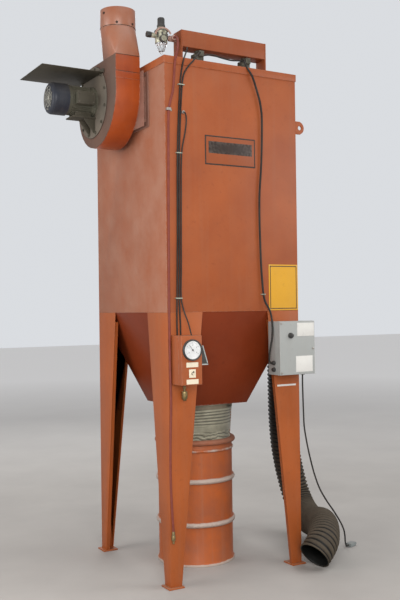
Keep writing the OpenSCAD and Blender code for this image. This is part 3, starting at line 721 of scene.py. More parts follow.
@dataclass(frozen=True)
class Canvas(Finish):
    """Coated cloth with a plain weave, dirt patches, painted shade in its folds and pale crowns between them."""

    grime: Colour
    pitch: float = 0.0022

    def build(self) -> bpy.types.Material:
        """Make the material."""
        bench = Bench(self.name)
        thread = {"Scale": 0.314 / self.pitch, "Distortion": 0.4}
        nodes = bench.wire(
            {"ring": plain("UVMap", uv_map="cloth"), "fold": plain("Attribute", attribute_name="fold_depth"),
             "warp": ("TexWave", {"wave_type": "BANDS", "bands_direction": "X"}, thread),
             "weft": ("TexWave", {"wave_type": "BANDS", "bands_direction": "Y"}, thread), "weave": maths("ADD")},
            "ring.UV > warp.Vector; ring.UV > weft.Vector; warp.Fac > weave.0; weft.Fac > weave.1")
        patches = bench.group("Blotches", scale=14.0, low=0.35, high=0.7)
        colour = bench.mixed(bench.level(patches, 0.12, 0.5), self.colour, self.grime)
        # painted shade: the fold_depth attribute darkens the folds towards the dark second colour
        bench.feed("Base Color", bench.mixed(nodes["fold"].outputs["Fac"], colour, self.grime))
        bench.feed("Roughness", bench.level(patches, 0.72, 0.9))
        bench.feed("Normal", bench.bump(nodes["weave"].outputs["Value"], 0.25, 0.0006))
        bench.set(sheen_weight=0.25, specular_ior_level=0.25)
        return bench.material


@dataclass(frozen=True)
class ClearBowl(Finish):
    """Clear hard plastic."""

    def build(self) -> bpy.types.Material:
        """Make the material."""
        bench = Bench(self.name)
        haze = bench.group("Blotches", scale=50.0, low=0.3, high=0.8)
        bench.feed("Roughness", bench.level(haze, 0.08, 0.3))
        bench.feed("Base Color", bench.mixed(haze, self.colour, scaled(self.colour, 0.9)))
        bench.set(transmission_weight=0.75, ior=1.45)
        return bench.material


class Finishes:
    """All finishes of the machine, each made once."""

    ORANGE = Paint("orange_enamel", "cabinet_paint", (0.355, 0.088, 0.024), (0.285, 0.066, 0.019),
                   dust=(0.27, 0.14, 0.085), wall_dust=0.10, run=0.12)
    # dust and painted reflection: the left panel's heavy pale pinkish dust also stands for the glossy reflection of the
    # pale floor and wall
    SIDE = Paint("orange_enamel_dust_and_reflection_side", "cabinet_paint", (0.34, 0.105, 0.045), (0.28, 0.095, 0.048), rough=0.5,
                 dust=(0.38, 0.205, 0.145), wall_dust=0.62, run=0.06, patch=0.8)
    FLAT = Paint("orange_enamel_plain", "cabinet_paint", (0.30, 0.074, 0.022), (0.26, 0.062, 0.019), rub=0.0,
                 run=0.1, dust=(0.27, 0.14, 0.085), wall_dust=0.10)
    # painted shade: a darker enamel on the hopper, whose sloping sheets face down and away from the light
    HOPPER = Paint("orange_enamel_shaded", "cabinet_paint", (0.215, 0.034, 0.008), (0.165, 0.026, 0.007),
                   wall_dust=0.02, dust=(0.22, 0.10, 0.06), run=0.04, specular=0.2)
    LEG = Paint("orange_enamel_legs", "cabinet_paint", (0.39, 0.092, 0.018), (0.32, 0.075, 0.016), wall_dust=0.07,
                dust=(0.28, 0.16, 0.10), run=0.1, rub=0.0)
    BAND = Paint("orange_enamel_bright", "cabinet_paint", (0.39, 0.070, 0.010), (0.25, 0.038, 0.007),
                 wall_dust=0.03, run=0.05, rough=0.32, specular=0.45, dust=(0.30, 0.17, 0.11), patch=3.0)
    # dust and painted shade: the fan's outer side plate takes a dark dusty brown that also stands for the shade on its
    # face
    DUSTY_ORANGE = Paint("orange_under_dust_and_shade", "cabinet_paint", (0.15, 0.065, 0.04), (0.10, 0.055, 0.04), rough=0.6,
                         wall_dust=0.8, run=0.25, dust=(0.135, 0.095, 0.075), rub=0.2)
    NECK = Paint("orange_enamel_faded", "cabinet_paint", (0.36, 0.115, 0.050), (0.27, 0.085, 0.038), wall_dust=0.4,
                 run=0.15, dust=(0.33, 0.20, 0.15), rough=0.28, specular=0.6)
    RING = Paint("ring_enamel", "drum_paint", (0.30, 0.085, 0.035), (0.24, 0.07, 0.03), rub=0.3, wall_dust=0.5,
                 run=0.1, dust=(0.34, 0.20, 0.145), rough=0.55)
    FLANGE = Paint("faded_flange", "cabinet_paint", (0.27, 0.105, 0.065), (0.20, 0.08, 0.055), rub=0.3,
                   wall_dust=0.5, run=0.2, dust=(0.30, 0.19, 0.15), rough=0.55)
    # the pale colour that its ribs take beyond the given radius stands for paint wear and a painted highlight together
    DRUM = Paint("drum_enamel", "drum_paint", (0.44, 0.098, 0.018), (0.33, 0.066, 0.014), rub=0.0,
                 wear_radius=0.2403, wear_axis=-0.015, bare=(0.44, 0.35, 0.30), dust=(0.30, 0.165, 0.105),
                 patch=6.0, wall_dust=0.24, run=0.22)
    DUSTY_STEEL = Paint("dusty_plate", "dusty_steel", (0.14, 0.12, 0.095), (0.10, 0.088, 0.07), rough=0.7,
                        wall_dust=0.45, dust=(0.19, 0.15, 0.115), rub=0.2)
    # painted shade: a dark plate colour that stands for the shadow on the motor bracket, the shield and the terminal
    # box lid; the bolts round the motor plate and the lid's screws take it too
    SHADE = Paint("painted_shade_plate", "dusty_steel", (0.055, 0.048, 0.032), (0.04, 0.036, 0.025), rough=0.6,
                  wall_dust=0.25, dust=(0.12, 0.10, 0.075), rub=0.2)
    GRILLE = Metal("pale_grille", "worn_steel", (0.42, 0.42, 0.37), (0.26, 0.25, 0.21), rough=0.5, metallic=0.2)
    MOTOR = Paint("motor_enamel", "motor_paint", (0.075, 0.074, 0.050), (0.052, 0.052, 0.038), rough=0.6,
                  wall_dust=0.35, dust=(0.15, 0.13, 0.095), rub=0.2)
    COVER = Paint("motor_cover_enamel", "cover_paint", (0.019, 0.025, 0.040), (0.015, 0.018, 0.028), rough=0.4,
                  wall_dust=0.15, dust=(0.12, 0.11, 0.10), rub=0.25)
    GREY = Paint("grey_enamel", "grey_paint", (0.36, 0.375, 0.365), (0.33, 0.34, 0.33), dust=(0.34, 0.32, 0.29),
                 rub=0.25, run=0.12, wall_dust=0.08, bare=(0.5, 0.48, 0.45))
    STEEL = Metal("zinc_steel", "worn_steel", (0.50, 0.48, 0.45), (0.30, 0.25, 0.21), rough=0.38)
    VALVE = Metal("cast_valve_metal", "valve_metal", (0.52, 0.52, 0.40), (0.16, 0.15, 0.10), rough=0.4,
                  metallic=0.55)
    STRAP = Paint("dull_strap", "worn_steel", (0.20, 0.17, 0.12), (0.13, 0.105, 0.075), rub=0.1, wall_dust=0.3,
                  dust=(0.28, 0.24, 0.18), rough=0.6)
    GRIMY = Metal("grimy_valve_metal", "valve_metal", (0.13, 0.125, 0.095), (0.05, 0.048, 0.035), rough=0.55,
                  metallic=0.5, dust=(0.16, 0.135, 0.11))
    BRASS = Metal("dull_brass", "brass_fitting", (0.36, 0.26, 0.11), (0.14, 0.12, 0.06), rough=0.42)
    RUSTY_PIPE = Metal("rusty_pipe", "worn_steel", (0.34, 0.17, 0.12), (0.42, 0.28, 0.24), rough=0.6, metallic=0.25,
                       dust=(0.45, 0.33, 0.30))
    LABEL = Paint("bare_label", "label_metal", (0.78, 0.70, 0.54), (0.70, 0.61, 0.46), dust=(0.55, 0.48, 0.38),
                  rub=0.1, run=0.05, wall_dust=0.12, rough=0.35)
    WHITE = Paint("white_label", "label_metal", (0.72, 0.71, 0.68), (0.64, 0.63, 0.60), dust=(0.5, 0.47, 0.42),
                  rub=0.1, run=0.05, wall_dust=0.1, rough=0.35)
    YELLOW = Paint("yellow_plate", "yellow_sign", (0.66, 0.335, 0.018), (0.60, 0.30, 0.018),
                   dust=(0.48, 0.33, 0.12), rub=0.15, run=0.06, wall_dust=0.1, rough=0.35)
    DARK = Paint("dark_plate", "dark_sign", (0.022, 0.018, 0.016), (0.04, 0.025, 0.02), dust=(0.16, 0.09, 0.06),
                 rub=0.2, run=0.1, wall_dust=0.08)
    DIAL = Plastic("dial_face", "gauge_face", (0.62, 0.63, 0.63), rough=0.25, dust=(0.5, 0.48, 0.45), coat=0.6)
    BLACK = Plastic("black_moulding", "black_plastic", (0.018, 0.018, 0.018), rough=0.45)
    GREY_PLASTIC = Plastic("grey_moulding", "grey_plastic", (0.17, 0.19, 0.19), rough=0.5)
    TIE = Plastic("pale_tie", "gauge_face", (0.30, 0.33, 0.26), rough=0.5)
    SEAM = Paint("dark_seam", "cabinet_paint", (0.045, 0.022, 0.014), (0.03, 0.016, 0.012), rub=0.0, wall_dust=0.1,
                 dust=(0.16, 0.10, 0.07), rough=0.6)
    HOSE = RibbedRubber("ribbed_rubber", "hose_rubber", (0.007, 0.007, 0.0065), (0.088, 0.070, 0.050))
    RED_HOSE = Plastic("red_rubber", "red_rubber", (0.17, 0.036, 0.026), rough=0.6, dust=(0.21, 0.115, 0.09),
                       specular=0.2)
    CABLE = Plastic("black_rubber", "black_rubber", (0.008, 0.008, 0.008), rough=0.6, specular=0.2)
    # the dark second colour is for dirt patches and for the painted shade in the folds
    CLOTH = Canvas("coated_canvas", "boot_fabric", (0.425, 0.405, 0.305), (0.045, 0.04, 0.024))
    BOWL = ClearBowl("clear_bowl_plastic", "clear_plastic", (0.86, 0.90, 0.93))

    made: dict[str, bpy.types.Material] = {}

    @classmethod
    def put(cls, piece: bpy.types.Object, finish: Finish) -> bpy.types.Object:
        """Dress a piece in a finish and let it ride on the machine.

        Args:
            piece: the finished mesh or curve.
            finish: one of the finishes above.

        Returns:
            The same piece.
        """
        if finish.name not in cls.made:
            cls.made[finish.name] = finish.build()
        piece.data.materials.clear()
        piece.data.materials.append(cls.made[finish.name])
        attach(piece, "root")
        LOG.info("piece %s in %s", piece.name, finish.name)
        return piece

    @classmethod
    def skin(cls, finish: Finish, width: float, *nodes: str, segments: int = 2) -> bpy.types.Object:
        """Dress the edge-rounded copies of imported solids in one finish.

        Args:
            finish: one of the finishes above.
            width: width of the rounded edges in metres.
            nodes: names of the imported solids.
            segments: faces across the rounding.

        Returns:
            The last of the pieces.
        """
        for node in nodes:
            piece = cls.put(Workshop.copy_of(node, width, segments), finish)
        return piece

    @classmethod
    def put_joined(cls, name: str, pieces: Sequence[bpy.types.Object], finish: Finish) -> bpy.types.Object:
        """Join pieces under one name and dress them."""
        return cls.put(Workshop.joined(name, pieces), finish)


def smooth_line(points: Sequence[Point], step: float) -> list[Vector]:
    """A smooth line through the points of a route.

    Args:
        points: the route, in metres.
        step: wanted distance between the new points.

    Returns:
        Points close together along the route.
    """
    route = [Vector(p) for p in points]
    route = [2 * route[0] - route[1]] + route + [2 * route[-1] - route[-2]]
    line = []
    for i in range(1, len(route) - 2):
        a, b, c, d = route[i - 1:i + 3]
        ta = ((c - a) / ((b - a).length + (c - b).length)) * (c - b).length
        tb = ((d - b) / ((c - b).length + (d - c).length)) * (c - b).length
        count = max(2, round((c - b).length / step))
        for k in range(count):
            t = k / count
            line.append(
                (2 * t**3 - 3 * t**2 + 1) * b + (t**3 - 2 * t**2 + t) * ta
                + (3 * t**2 - 2 * t**3) * c + (t**3 - t**2) * tb
            )
    line.append(route[-2])
    return line


def carried_frames(line: Sequence[Vector], first: Vector) -> list[tuple[Vector, Vector, Vector]]:
    """Position, normal and side vectors along a line, carried without twisting."""
    frames = []
    normal = first.copy()
    for i, point in enumerate(line):
        along = (line[min(i + 1, len(line) - 1)] - line[max(i - 1, 0)]).normalized()
        normal = (normal - normal.dot(along) * along).normalized()
        frames.append((point, normal, along.cross(normal)))
    return frames


def ring_points(place: tuple[Vector, Vector, Vector], radius: float, sides: int) -> list[Vector]:
    """Points round a line at one of its carried frames."""
    point, normal, side = place
    angles = [math.tau * k / sides for k in range(sides)]
    return [point + radius * (math.cos(a) * normal + math.sin(a) * side) for a in angles]


@dataclass
class Studio:
    """Floor, lamps, world and the camera at the photograph's viewing angle."""

    eye: Point = (-2.7111, -4.72474, 1.5864)
    yaw: float = -30.18
    pitch: float = 0.50
    roll: float = -0.76
    lens: float = 51.0

    def camera(self) -> None:
        """Set the camera."""
        yaw, pitch, roll = (math.radians(v) for v in (self.yaw, self.pitch, self.roll))
        right, ahead = spoke(yaw), spoke(yaw + math.pi / 2)
        up = Vector((0, 0, 1)) * math.cos(pitch) - ahead * math.sin(pitch)
        side = right * math.cos(roll) + up * math.sin(roll)
        top = up * math.cos(roll) - right * math.sin(roll)
        data = bpy.data.cameras.new("photo_camera")
        data.sensor_fit = "VERTICAL"
        data.sensor_height = 36.0
        data.lens = self.lens
        data.clip_end = 100.0
        camera = Workshop.linked("photo_camera", data)
        turn = Matrix((side, top, side.cross(top))).transposed().to_4x4()
        camera.matrix_world = Matrix.Translation(Vector(self.eye)) @ turn
        bpy.context.scene.camera = camera

    def floor(self) -> None:
        """Lay the pale floor."""
        Workshop.deselect()
        bpy.ops.mesh.primitive_plane_add(size=60.0, location=(0, 0, -0.0005))
        floor = bpy.context.object
        floor.name = "studio_floor"
        bench = Bench("pale_floor")
        nodes = bench.wire({"away": maths("LENGTH", "VectorMath"), "far": reach(2.5, 14.0)},
                           "spot.Object > away.0; away.Value > far.Value")
        grey = bench.group("Blotches", scale=1.2, low=0.3, high=0.7)
        near = bench.mixed(grey, (0.42, 0.40, 0.375), (0.37, 0.35, 0.33))
        bench.feed("Base Color", bench.mixed(nodes["far"].outputs["Result"], near, (0.86, 0.85, 0.84)))
        bench.set(roughness=0.7, specular_ior_level=0.2)
        floor.data.materials.append(bench.material)

    @staticmethod
    def lamp(name: str, place: Point, target: Point, size: float, power: float, tint: Colour = (1, 1, 1)) -> None:
        """Hang one soft square lamp.

        Args:
            name: name of the lamp.
            place: where it hangs.
            target: the point that it looks at.
            size: length of its sides.
            power: its power in watts.
            tint: colour of its light.
        """
        data = bpy.data.lights.new(name, "AREA")
        data.shape = "SQUARE"
        data.size = size
        data.energy = power
        data.color = tint
        Workshop.linked(name, data).matrix_world = aimed(place, Vector(target) - Vector(place), "-Z")

    def sun(self) -> None:
        """Light the whole floor evenly from high above."""
        data = bpy.data.lights.new("sky_sun", "SUN")
        data.energy = 0.9
        data.angle = math.radians(50)
        Workshop.linked("sky_sun", data).matrix_world = aimed((0, 0, 0), (-0.35, 0.45, -1.0), "-Z")

    def world(self) -> None:
        """Light the scene softly from all round and show a pale background."""
        world = bpy.data.worlds.new("studio_world")
        bpy.context.scene.world = world
        world.use_nodes = True
        tree = world.node_tree
        soft = tree.nodes["Background"]
        soft.inputs["Color"].default_value = (0.96, 0.97, 1.0, 1.0)
        soft.inputs["Strength"].default_value = 0.42
        wire(tree, {"seen": ("Background", {}, {"Color": (0.70, 0.72, 0.75, 1.0), "Strength": 1.0}),
                    "path": plain("LightPath"), "mix": plain("MixShader")},
             "path.Is Camera Ray > mix.0; soft.0 > mix.1; seen.0 > mix.2; mix.0 > output.Surface",
             {"soft": soft, "output": tree.nodes["World Output"]})

    def build(self) -> None:
        """Set up the whole studio."""
        self.camera()
        self.floor()
        self.lamp("front_lamp", (-2.6, -4.8, 2.5), (0.1, 0, 1.3), 3.0, 192, (1.0, 0.98, 0.95))
        self.lamp("left_lamp", (-5.2, 0.4, 2.8), (-0.3, 0, 1.5), 2.6, 112, (1.0, 0.98, 0.96))
        self.lamp("right_lamp", (4.2, -3.4, 3.0), (0.2, 0, 1.4), 2.6, 60)
        self.lamp("back_lamp", (1.5, 4.8, 4.4), (0, 0, 1.8), 3.0, 110)
        self.sun()
        self.world()
        bpy.context.scene.view_settings.view_transform = "Standard"


@dataclass
class Cabinet:
    """Square housing with its lid, hopper, legs, feet, lugs and plates."""

    edge: float = 0.0012
    plate_edge: float = 0.0004
    panels: tuple[str, ...] = ("front_panel", "back_panel", "left_panel", "right_panel", "top_lid", "lifting_lugs")
    legs: tuple[str, ...] = ("leg_front_left", "leg_front_right", "leg_back_left", "leg_back_right", "foot_plates")

    def build(self) -> None:
        """Dress the sheets of the housing."""
        for node in self.panels:
            Finishes.skin(Finishes.SIDE if node == "left_panel" else Finishes.ORANGE, self.edge, node)
        Finishes.skin(Finishes.LEG, self.edge, *self.legs)
        Finishes.skin(Finishes.HOPPER, self.edge, "hopper_shell", "hopper_outlet")
        self.plates()

    def plates(self) -> None:
        """Dress the bare plates: the sign plate with its rivets and a printed border, and the plain name plate with an
        inset field and a dark band.
        """
        Finishes.skin(Finishes.YELLOW, self.plate_edge, "sign_plate", segments=1)
        low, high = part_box("sign_plate")
        self.rivets("sign_rivets", low, high, 0.008)
        Finishes.put(self.border("sign_border", low, high, 0.009, 0.005), Finishes.DARK)
        Finishes.skin(Finishes.WHITE, self.plate_edge, "leg_label", segments=1)
        Finishes.skin(Finishes.DARK, self.plate_edge, "name_plate", segments=1)
        low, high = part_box("name_plate")
        face = low[1]
        inner = Workshop.block("name_plate_field", (low[0] + 0.008, face - 0.0006, low[2] + 0.008),
                               (high[0] - 0.008, face + 0.0004, high[2] - 0.008), 0.0003)
        Finishes.put(inner, Finishes.FLAT)
        middle = (low[2] + high[2]) / 2
        band = Workshop.block("name_plate_band", (low[0] + 0.024, face - 0.0010, middle - 0.018),
                              (high[0] - 0.024, face + 0.0002, middle + 0.052), 0.0003)
        Finishes.put(band, Finishes.DARK)

    @staticmethod
    def border(name: str, low: Point, high: Point, inset: float, width: float) -> bpy.types.Object:
        """A thin printed border on a plate on the front.

        Args:
            name: name of the piece.
            low: the plate's lowest corner.
            high: the plate's highest corner.
            inset: distance from the plate's edge.
            width: width of the line.

        Returns:
            The border, not yet dressed.
        """
        face = low[1]
        x0, x1, z0, z1 = low[0] + inset, high[0] - inset, low[2] + inset, high[2] - inset
        bars = [((x0, z0), (x1, z0 + width)), ((x0, z1 - width), (x1, z1)), ((x0, z0), (x0 + width, z1)),
                ((x1 - width, z0), (x1, z1))]
        pieces = [Workshop.block("bar", (a[0], face - 0.0003, a[1]), (b[0], face + 0.0004, b[1]), 0.0) for a, b in bars]
        return Workshop.joined(name, pieces)

    @staticmethod
    def rivets(name: str, low: Point, high: Point, margin: float) -> None:
        """Four small round rivets at the corners of a plate on the front."""
        dome = [(0.0028, 0.0), (0.0026, 0.0007), (0.0016, 0.0013), (0.0003, 0.0015)]
        heads = [Workshop.turned("rivet", dome, (x, low[1] + 0.0002, z), Axis.FRONT.vector, 16)
                 for x in (low[0] + margin, high[0] - margin) for z in (low[2] + margin, high[2] - margin)]
        Finishes.put_joined(name, heads, Finishes.STEEL)


@dataclass
class DustDrum:
    """Drum, clamp ring and cloth boot under the hopper."""

    boot_sides: int = 160
    boot_rings: int = 150
    boot_cut: tuple[float, float] = (1.406, 0.345)
    boot_radius: float = 0.2238
    boot_wall: float = 0.0016
    fold_depth: float = 0.0125
    pleat_pitch: float = 0.0185
    crumple_pitch: float = 0.021

    def build(self) -> None:
        """Dress the drum and model the boot."""
        Finishes.skin(Finishes.DRUM, 0.0008, "drum_shell", segments=1)
        Finishes.skin(Finishes.RING, 0.0008, "drum_ring", segments=1)
        self.boot()
        self.strap()

    def boot(self) -> None:
        """Model the cloth boot: level pleats at the top, a smooth waist and a crumpled foot."""
        low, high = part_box("fabric_boot")
        axis_low = (low[0] + high[0]) / 2 - 0.0048
        count = self.boot_sides
        points, depth = [], []
        for i in range(self.boot_rings + 1):
            up = i / self.boot_rings
            z = low[2] + up * (high[2] - low[2])
            x = axis_low * (1 - clamped((up - 0.22) / 0.6))
            for k in range(count):
                near = spoke(math.tau * k / count)
                sink, grime = self.fold(near, k, up, z, high[2] - 0.043)
                r = self.boot_radius - sink
                points.append((x + r * near.x, r * near.y, z))
                depth.append(grime)
        mesh = bpy.data.meshes.new("cloth_boot")
        mesh.from_pydata(points, [], tube_faces(self.boot_rings + 1, count))
        # the fold_depth attribute carries the dirt and painted fold shade for the cloth
        mesh.attributes.new("fold_depth", "FLOAT", "POINT").data.foreach_set("value", depth)
        wrap = mesh.uv_layers.new(name="cloth")
        for polygon in mesh.polygons:
            columns = [v % count for v in polygon.vertices]
            for corner, vertex in zip(polygon.loop_indices, polygon.vertices):
                column = vertex % count
                if column == 0 and count - 1 in columns:
                    column = count
                wrap.data[corner].uv = (column / count * math.tau * self.boot_radius, points[vertex][2])
        LOG.info("boot cloth %.4f m2", sum(f.area for f in mesh.polygons))
        piece = Workshop.linked("cloth_boot", mesh)
        wall = piece.modifiers.new("cloth_thickness", "SOLIDIFY")
        wall.thickness = self.boot_wall
        wall.offset = 0.0
        Workshop.apply_all(piece)
        bpy.ops.object.shade_smooth()
        Finishes.put(piece, Finishes.CLOTH)
        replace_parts(piece, "fabric_boot")

    def fold(self, near: Vector, column: int, up: float, z: float, spigot_end: float) -> tuple[float, float]:
        """How the cloth lies at one point.

        Args:
            near: direction from the axis to the point.
            column: the point's place round the boot.
            up: the point's height, from 0 at the foot to 1 at the top.
            z: its height in metres.
            spigot_end: height of the spigot's lower end, above which the cloth lies on it.

        Returns:
            How far the cloth lies inwards, and how much dirt and painted shade the place holds, from 0 to 1.
        """
        wander = noise.noise(near * 1.3 + Vector((0, 0, z * 4))) * 0.008
        pleat_z = z + wander + 0.004 * math.sin(math.tau * column / self.boot_sides + 0.6)
        top = clamped((up - 0.44) / 0.10) * clamped((1.0 - up) / 0.04)
        pleat = 0.5 + 0.5 * math.cos(math.tau * pleat_z / self.pleat_pitch)
        foot = clamped((0.36 - up) / 0.05) * clamped(up / 0.03)
        sway = noise.noise(near * 2.6) * 0.014 + noise.noise(near * 8.0 + Vector((0, 0, z * 26))) * 0.011
        ridge = abs(math.sin(math.pi * (z + sway) / self.crumple_pitch))
        slack = 0.003 * (0.5 + 0.5 * noise.noise(near * 3 + Vector((0, 0, z * 9)))) * (1 - top)
        sink = max(0.0, self.fold_depth * (top * (1 - pleat**0.45) + foot * (1 - ridge**0.5)) + slack)
        # painted shade: the deeper the fold, the darker; the smooth waist keeps a light dirt tone
        grime = max(0.28 * max(0.0, 1 - top - foot), min(1.0, sink / 0.0115)**1.4)
        free = clamped((spigot_end - z) / 0.006)
        return sink * (0.06 + 0.94 * free), 0.95 * grime

    def strap(self) -> None:
        """Dress the strap and give it a worm-drive lock."""
        Finishes.skin(Finishes.STRAP, 0.0005, "boot_strap", segments=1)
        low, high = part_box("boot_strap")
        z = (low[2] + high[2]) / 2
        x = high[0] * math.cos(math.radians(60))
        y = low[1] * math.sin(math.radians(60))
        out = Vector((x, y, 0)).normalized()
        side = Vector((-out.y, out.x, 0))
        at = Vector((x, y, z)) + out * 0.0035
        lock = Workshop.rod("strap_lock", at - side * 0.016, at + side * 0.016, 0.0055, 16)
        screw = Workshop.rod("strap_screw", at + side * 0.016, at + side * 0.022, 0.0046, 6)
        Finishes.put_joined("strap_lock", [lock, screw], Finishes.GRIMY)


@dataclass
class Blower:
    """Fan housing on the left side, with its motor, bracket and shield."""

    edge: float = 0.001
    bolt_circle: float = 0.199
    bolts: int = 12
    motor_fins: int = 36
    motor_radii: tuple[float, float, float] = (0.0945, 0.0885, 0.081)

    def build(self) -> None:
        """Dress the housing and the motor."""
        Finishes.skin(Finishes.BAND, self.edge, "fan_scroll_band", "fan_inner_plate")
        Finishes.skin(Finishes.NECK, self.edge, "fan_neck", "exhaust_collar")
        Finishes.skin(Finishes.FLANGE, self.edge, "fan_inlet_box")
        Finishes.skin(Finishes.DUSTY_ORANGE, self.edge, "fan_outer_plate")
        Finishes.skin(Finishes.DUSTY_STEEL, self.edge, "motor_plate")
        # painted shade: the bracket and the shield take the dark plate colour for the shadow under the motor
        Finishes.skin(Finishes.SHADE, self.edge, "motor_bracket", "motor_shield")
        self.housing_details()
        self.motor()

    def housing_details(self) -> None:
        """Bolts round the motor plate, seams on the band and bolts on the inlet box."""
        low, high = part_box("motor_plate")
        middle = Vector((low[0], (low[1] + high[1]) / 2, (low[2] + high[2]) / 2))
        places = [middle + spoke(math.tau * (k + 0.5) / self.bolts, Axis.X) * self.bolt_circle
                  for k in range(self.bolts)]
        Finishes.put(Workshop.hex_heads("motor_plate_bolts", places, Axis.LEFT.vector, 0.008), Finishes.SHADE)
        gap = Workshop.ring("motor_plate_gap", (high[0] - 0.0008, middle.y, middle.z), Axis.X.vector,
                            (high[1] - low[1]) / 2 + 0.0008, 0.0022, 96)
        Finishes.put(gap, Finishes.SEAM)
        band_low, band_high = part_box("fan_scroll_band")
        neck_low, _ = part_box("fan_neck")
        for name, front, past, out, into, bottom, top, width, finish in (
                ("band_lap", band_low[1], 0.002, 0.0022, 0.001, 2.926, 2.966, 0.0006, Finishes.BAND),
                ("band_lap_line", band_low[1], 0.0005, 0.0026, 0.0005, 2.9655, 2.9685, 0.0003, Finishes.SEAM),
                ("neck_seam", neck_low[1], 0.001, 0.0012, 0.004, neck_low[2] - 0.0016, neck_low[2] + 0.0016, 0.0005,
                 Finishes.SEAM)):
            strip = Workshop.block(name, (band_low[0] - past, front - out, bottom),
                                   (band_high[0] + past, front + into, top), width)
            Finishes.put(strip, finish)
        collar_low, collar_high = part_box("exhaust_collar")
        centre = middle_of(collar_low, collar_high)
        radius = (collar_high[0] - collar_low[0]) / 2
        Finishes.put(Workshop.ring("collar_bead", (centre[0], centre[1], collar_low[2] + 0.004), Axis.Z.vector,
                                   radius + 0.0002, 0.0019), Finishes.SEAM)
        self.collar_strap(centre, radius, collar_low[2], collar_high[2])
        box_low, box_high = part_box("fan_inlet_box")
        x, front = box_low[0] + 0.006, box_low[1] + 0.014
        spots = [(x, y, box_high[2] - 0.0146) for y in (front, -0.135, 0.0, 0.135, box_high[1] - 0.014)]
        spots += [(x, front, z) for z in (2.70, 2.79, 2.88)]
        Finishes.put(Workshop.hex_heads("inlet_box_bolts", spots, Axis.X.vector, 0.007, 0.005), Finishes.GRIMY)

    @staticmethod
    def collar_strap(centre: Point, radius: float, low: float, high: float) -> None:
        """Model the thin hanging strap and the bolts on the exhaust collar.

        Args:
            centre: middle of the collar.
            radius: outer radius of the collar.
            low: height of the collar's lower edge.
            high: height of its upper edge.
        """
        out = Vector((-0.995, -0.10, 0)).normalized()
        side = Vector((-out.y, out.x, 0))
        at = Vector((centre[0], centre[1], 0)) + out * (radius + 0.0012)
        strap = Workshop.block("strap", (-0.5, -0.5, -0.5), (0.5, 0.5, 0.5), 0.0)
        turn = Matrix((out, side, Axis.Z.vector)).transposed().to_4x4()
        middle = at + Vector((0, 0, (low + high) / 2 - 0.012))
        strap.matrix_world = Matrix.Translation(middle) @ turn @ Matrix.Diagonal((0.0022, 0.013, high - low - 0.012, 1))
        Finishes.put(Workshop.soften(Workshop.settle(strap), 0.0006), Finishes.NECK)
        for bearing, z in ((-118, low + 0.018), (-60, low + 0.020), (-165, high - 0.03)):
            way = spoke(math.radians(bearing))
            spot = Vector((centre[0], centre[1], z)) + way * (radius - 0.0004)
            Finishes.put(Workshop.hex_heads("collar_bolt", [spot], way, 0.0055, 0.004), Finishes.SEAM)

    def motor(self) -> None:
        """Model the motor: ribbed body, end bells, fan cover with its grille and a lidded terminal box."""
        low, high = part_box("motor_body")
        middle = middle_of(low, high)
        length = high[0] - low[0]
        rim, bell, barrel = self.motor_radii
        profile = [(0.030, 0.0), (rim, 0.0), (rim, 0.011), (bell, 0.014), (0.084, 0.024), (barrel, 0.034),
                   (barrel, length - 0.022), (bell, length - 0.018), (bell, length - 0.001), (0.030, length - 0.001)]
        start = (high[0], middle.y, middle.z)
        fins = [Workshop.turned("motor_housing", profile, start, Axis.LEFT.vector, 72)]
        for k in range(self.motor_fins):
            a = math.tau * k / self.motor_fins
            out = spoke(a, Axis.X)
            if out.y < -0.80 and out.z > -0.55:
                continue
            fin = Workshop.block("fin", (-0.5, -0.0013, -0.0045), (0.5, 0.0013, 0.0045), 0.0)
            fin.matrix_world = Matrix.Translation(middle - Axis.X.vector * 0.004 + out * (barrel + 0.0035)) @ \
                Matrix.Rotation(a - math.pi / 2, 4, "X") @ Matrix.Diagonal((length - 0.060, 1, 1, 1))
            fins.append(Workshop.settle(fin))
        housing = Finishes.put_joined("motor_housing", fins, Finishes.MOTOR)
        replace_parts(housing, "motor_body")
        low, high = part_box("motor_fan_cover")
        length = high[0] - low[0]
        profile = [(0.088, 0.0), (rim, 0.001), (rim, length - 0.026), (0.093, length - 0.018), (0.088, length - 0.009),
                   (0.079, length - 0.003), (0.070, length - 0.002), (0.068, length - 0.007), (0.020, length - 0.007)]
        start = (high[0], middle.y, middle.z)
        cover = Workshop.turned("motor_cowl", profile, start, Axis.LEFT.vector, 72)
        Finishes.put(cover, Finishes.COVER)
        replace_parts(cover, "motor_fan_cover")
        self.grille(Vector((low[0], middle.y, middle.z)))
        self.terminal_box()

    @staticmethod
    def grille(end: Vector) -> None:
        """Model the round wire grille at the cowl's end."""
        inner, outer = (end + Axis.X.vector * depth for depth in (0.007, 0.002))
        parts = [Workshop.rod("grille_hub", inner, outer, 0.012, 32, 0.0012)]
        at = end + Axis.X.vector * 0.0045
        for radius in (0.031, 0.050, 0.069):
            parts.append(Workshop.ring("grille", at, Axis.LEFT.vector, radius, 0.0014, 48))
        for k in range(9):
            out = spoke(math.tau * k / 9, Axis.X)
            parts.append(Workshop.rod("spoke", at + out * 0.010, at + out * 0.070, 0.0015, 10, 0.0))
        Finishes.put_joined("motor_grille", parts, Finishes.GRILLE)

    def terminal_box(self) -> None:
        """Dress the terminal box and give it a lid with screws."""
        Finishes.skin(Finishes.MOTOR, 0.003, "motor_box", segments=3)
        low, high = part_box("motor_box")
        lid = Workshop.block("motor_box_lid", (low[0] - 0.001, low[1] - 0.001, low[2] - 0.001),
                             (high[0] + 0.001, low[1] + 0.004, high[2] + 0.001), 0.0015)
        # painted shade: the lid takes the dark plate colour for the box's shaded side
        Finishes.put(lid, Finishes.SHADE)
        places = [(x, low[1] - 0.001, z) for x in (low[0] + 0.010, high[0] - 0.010)
                  for z in (low[2] + 0.010, high[2] - 0.010)]
        Finishes.put(Workshop.hex_heads("motor_box_screws", places, Axis.FRONT.vector, 0.004, 0.003), Finishes.SHADE)


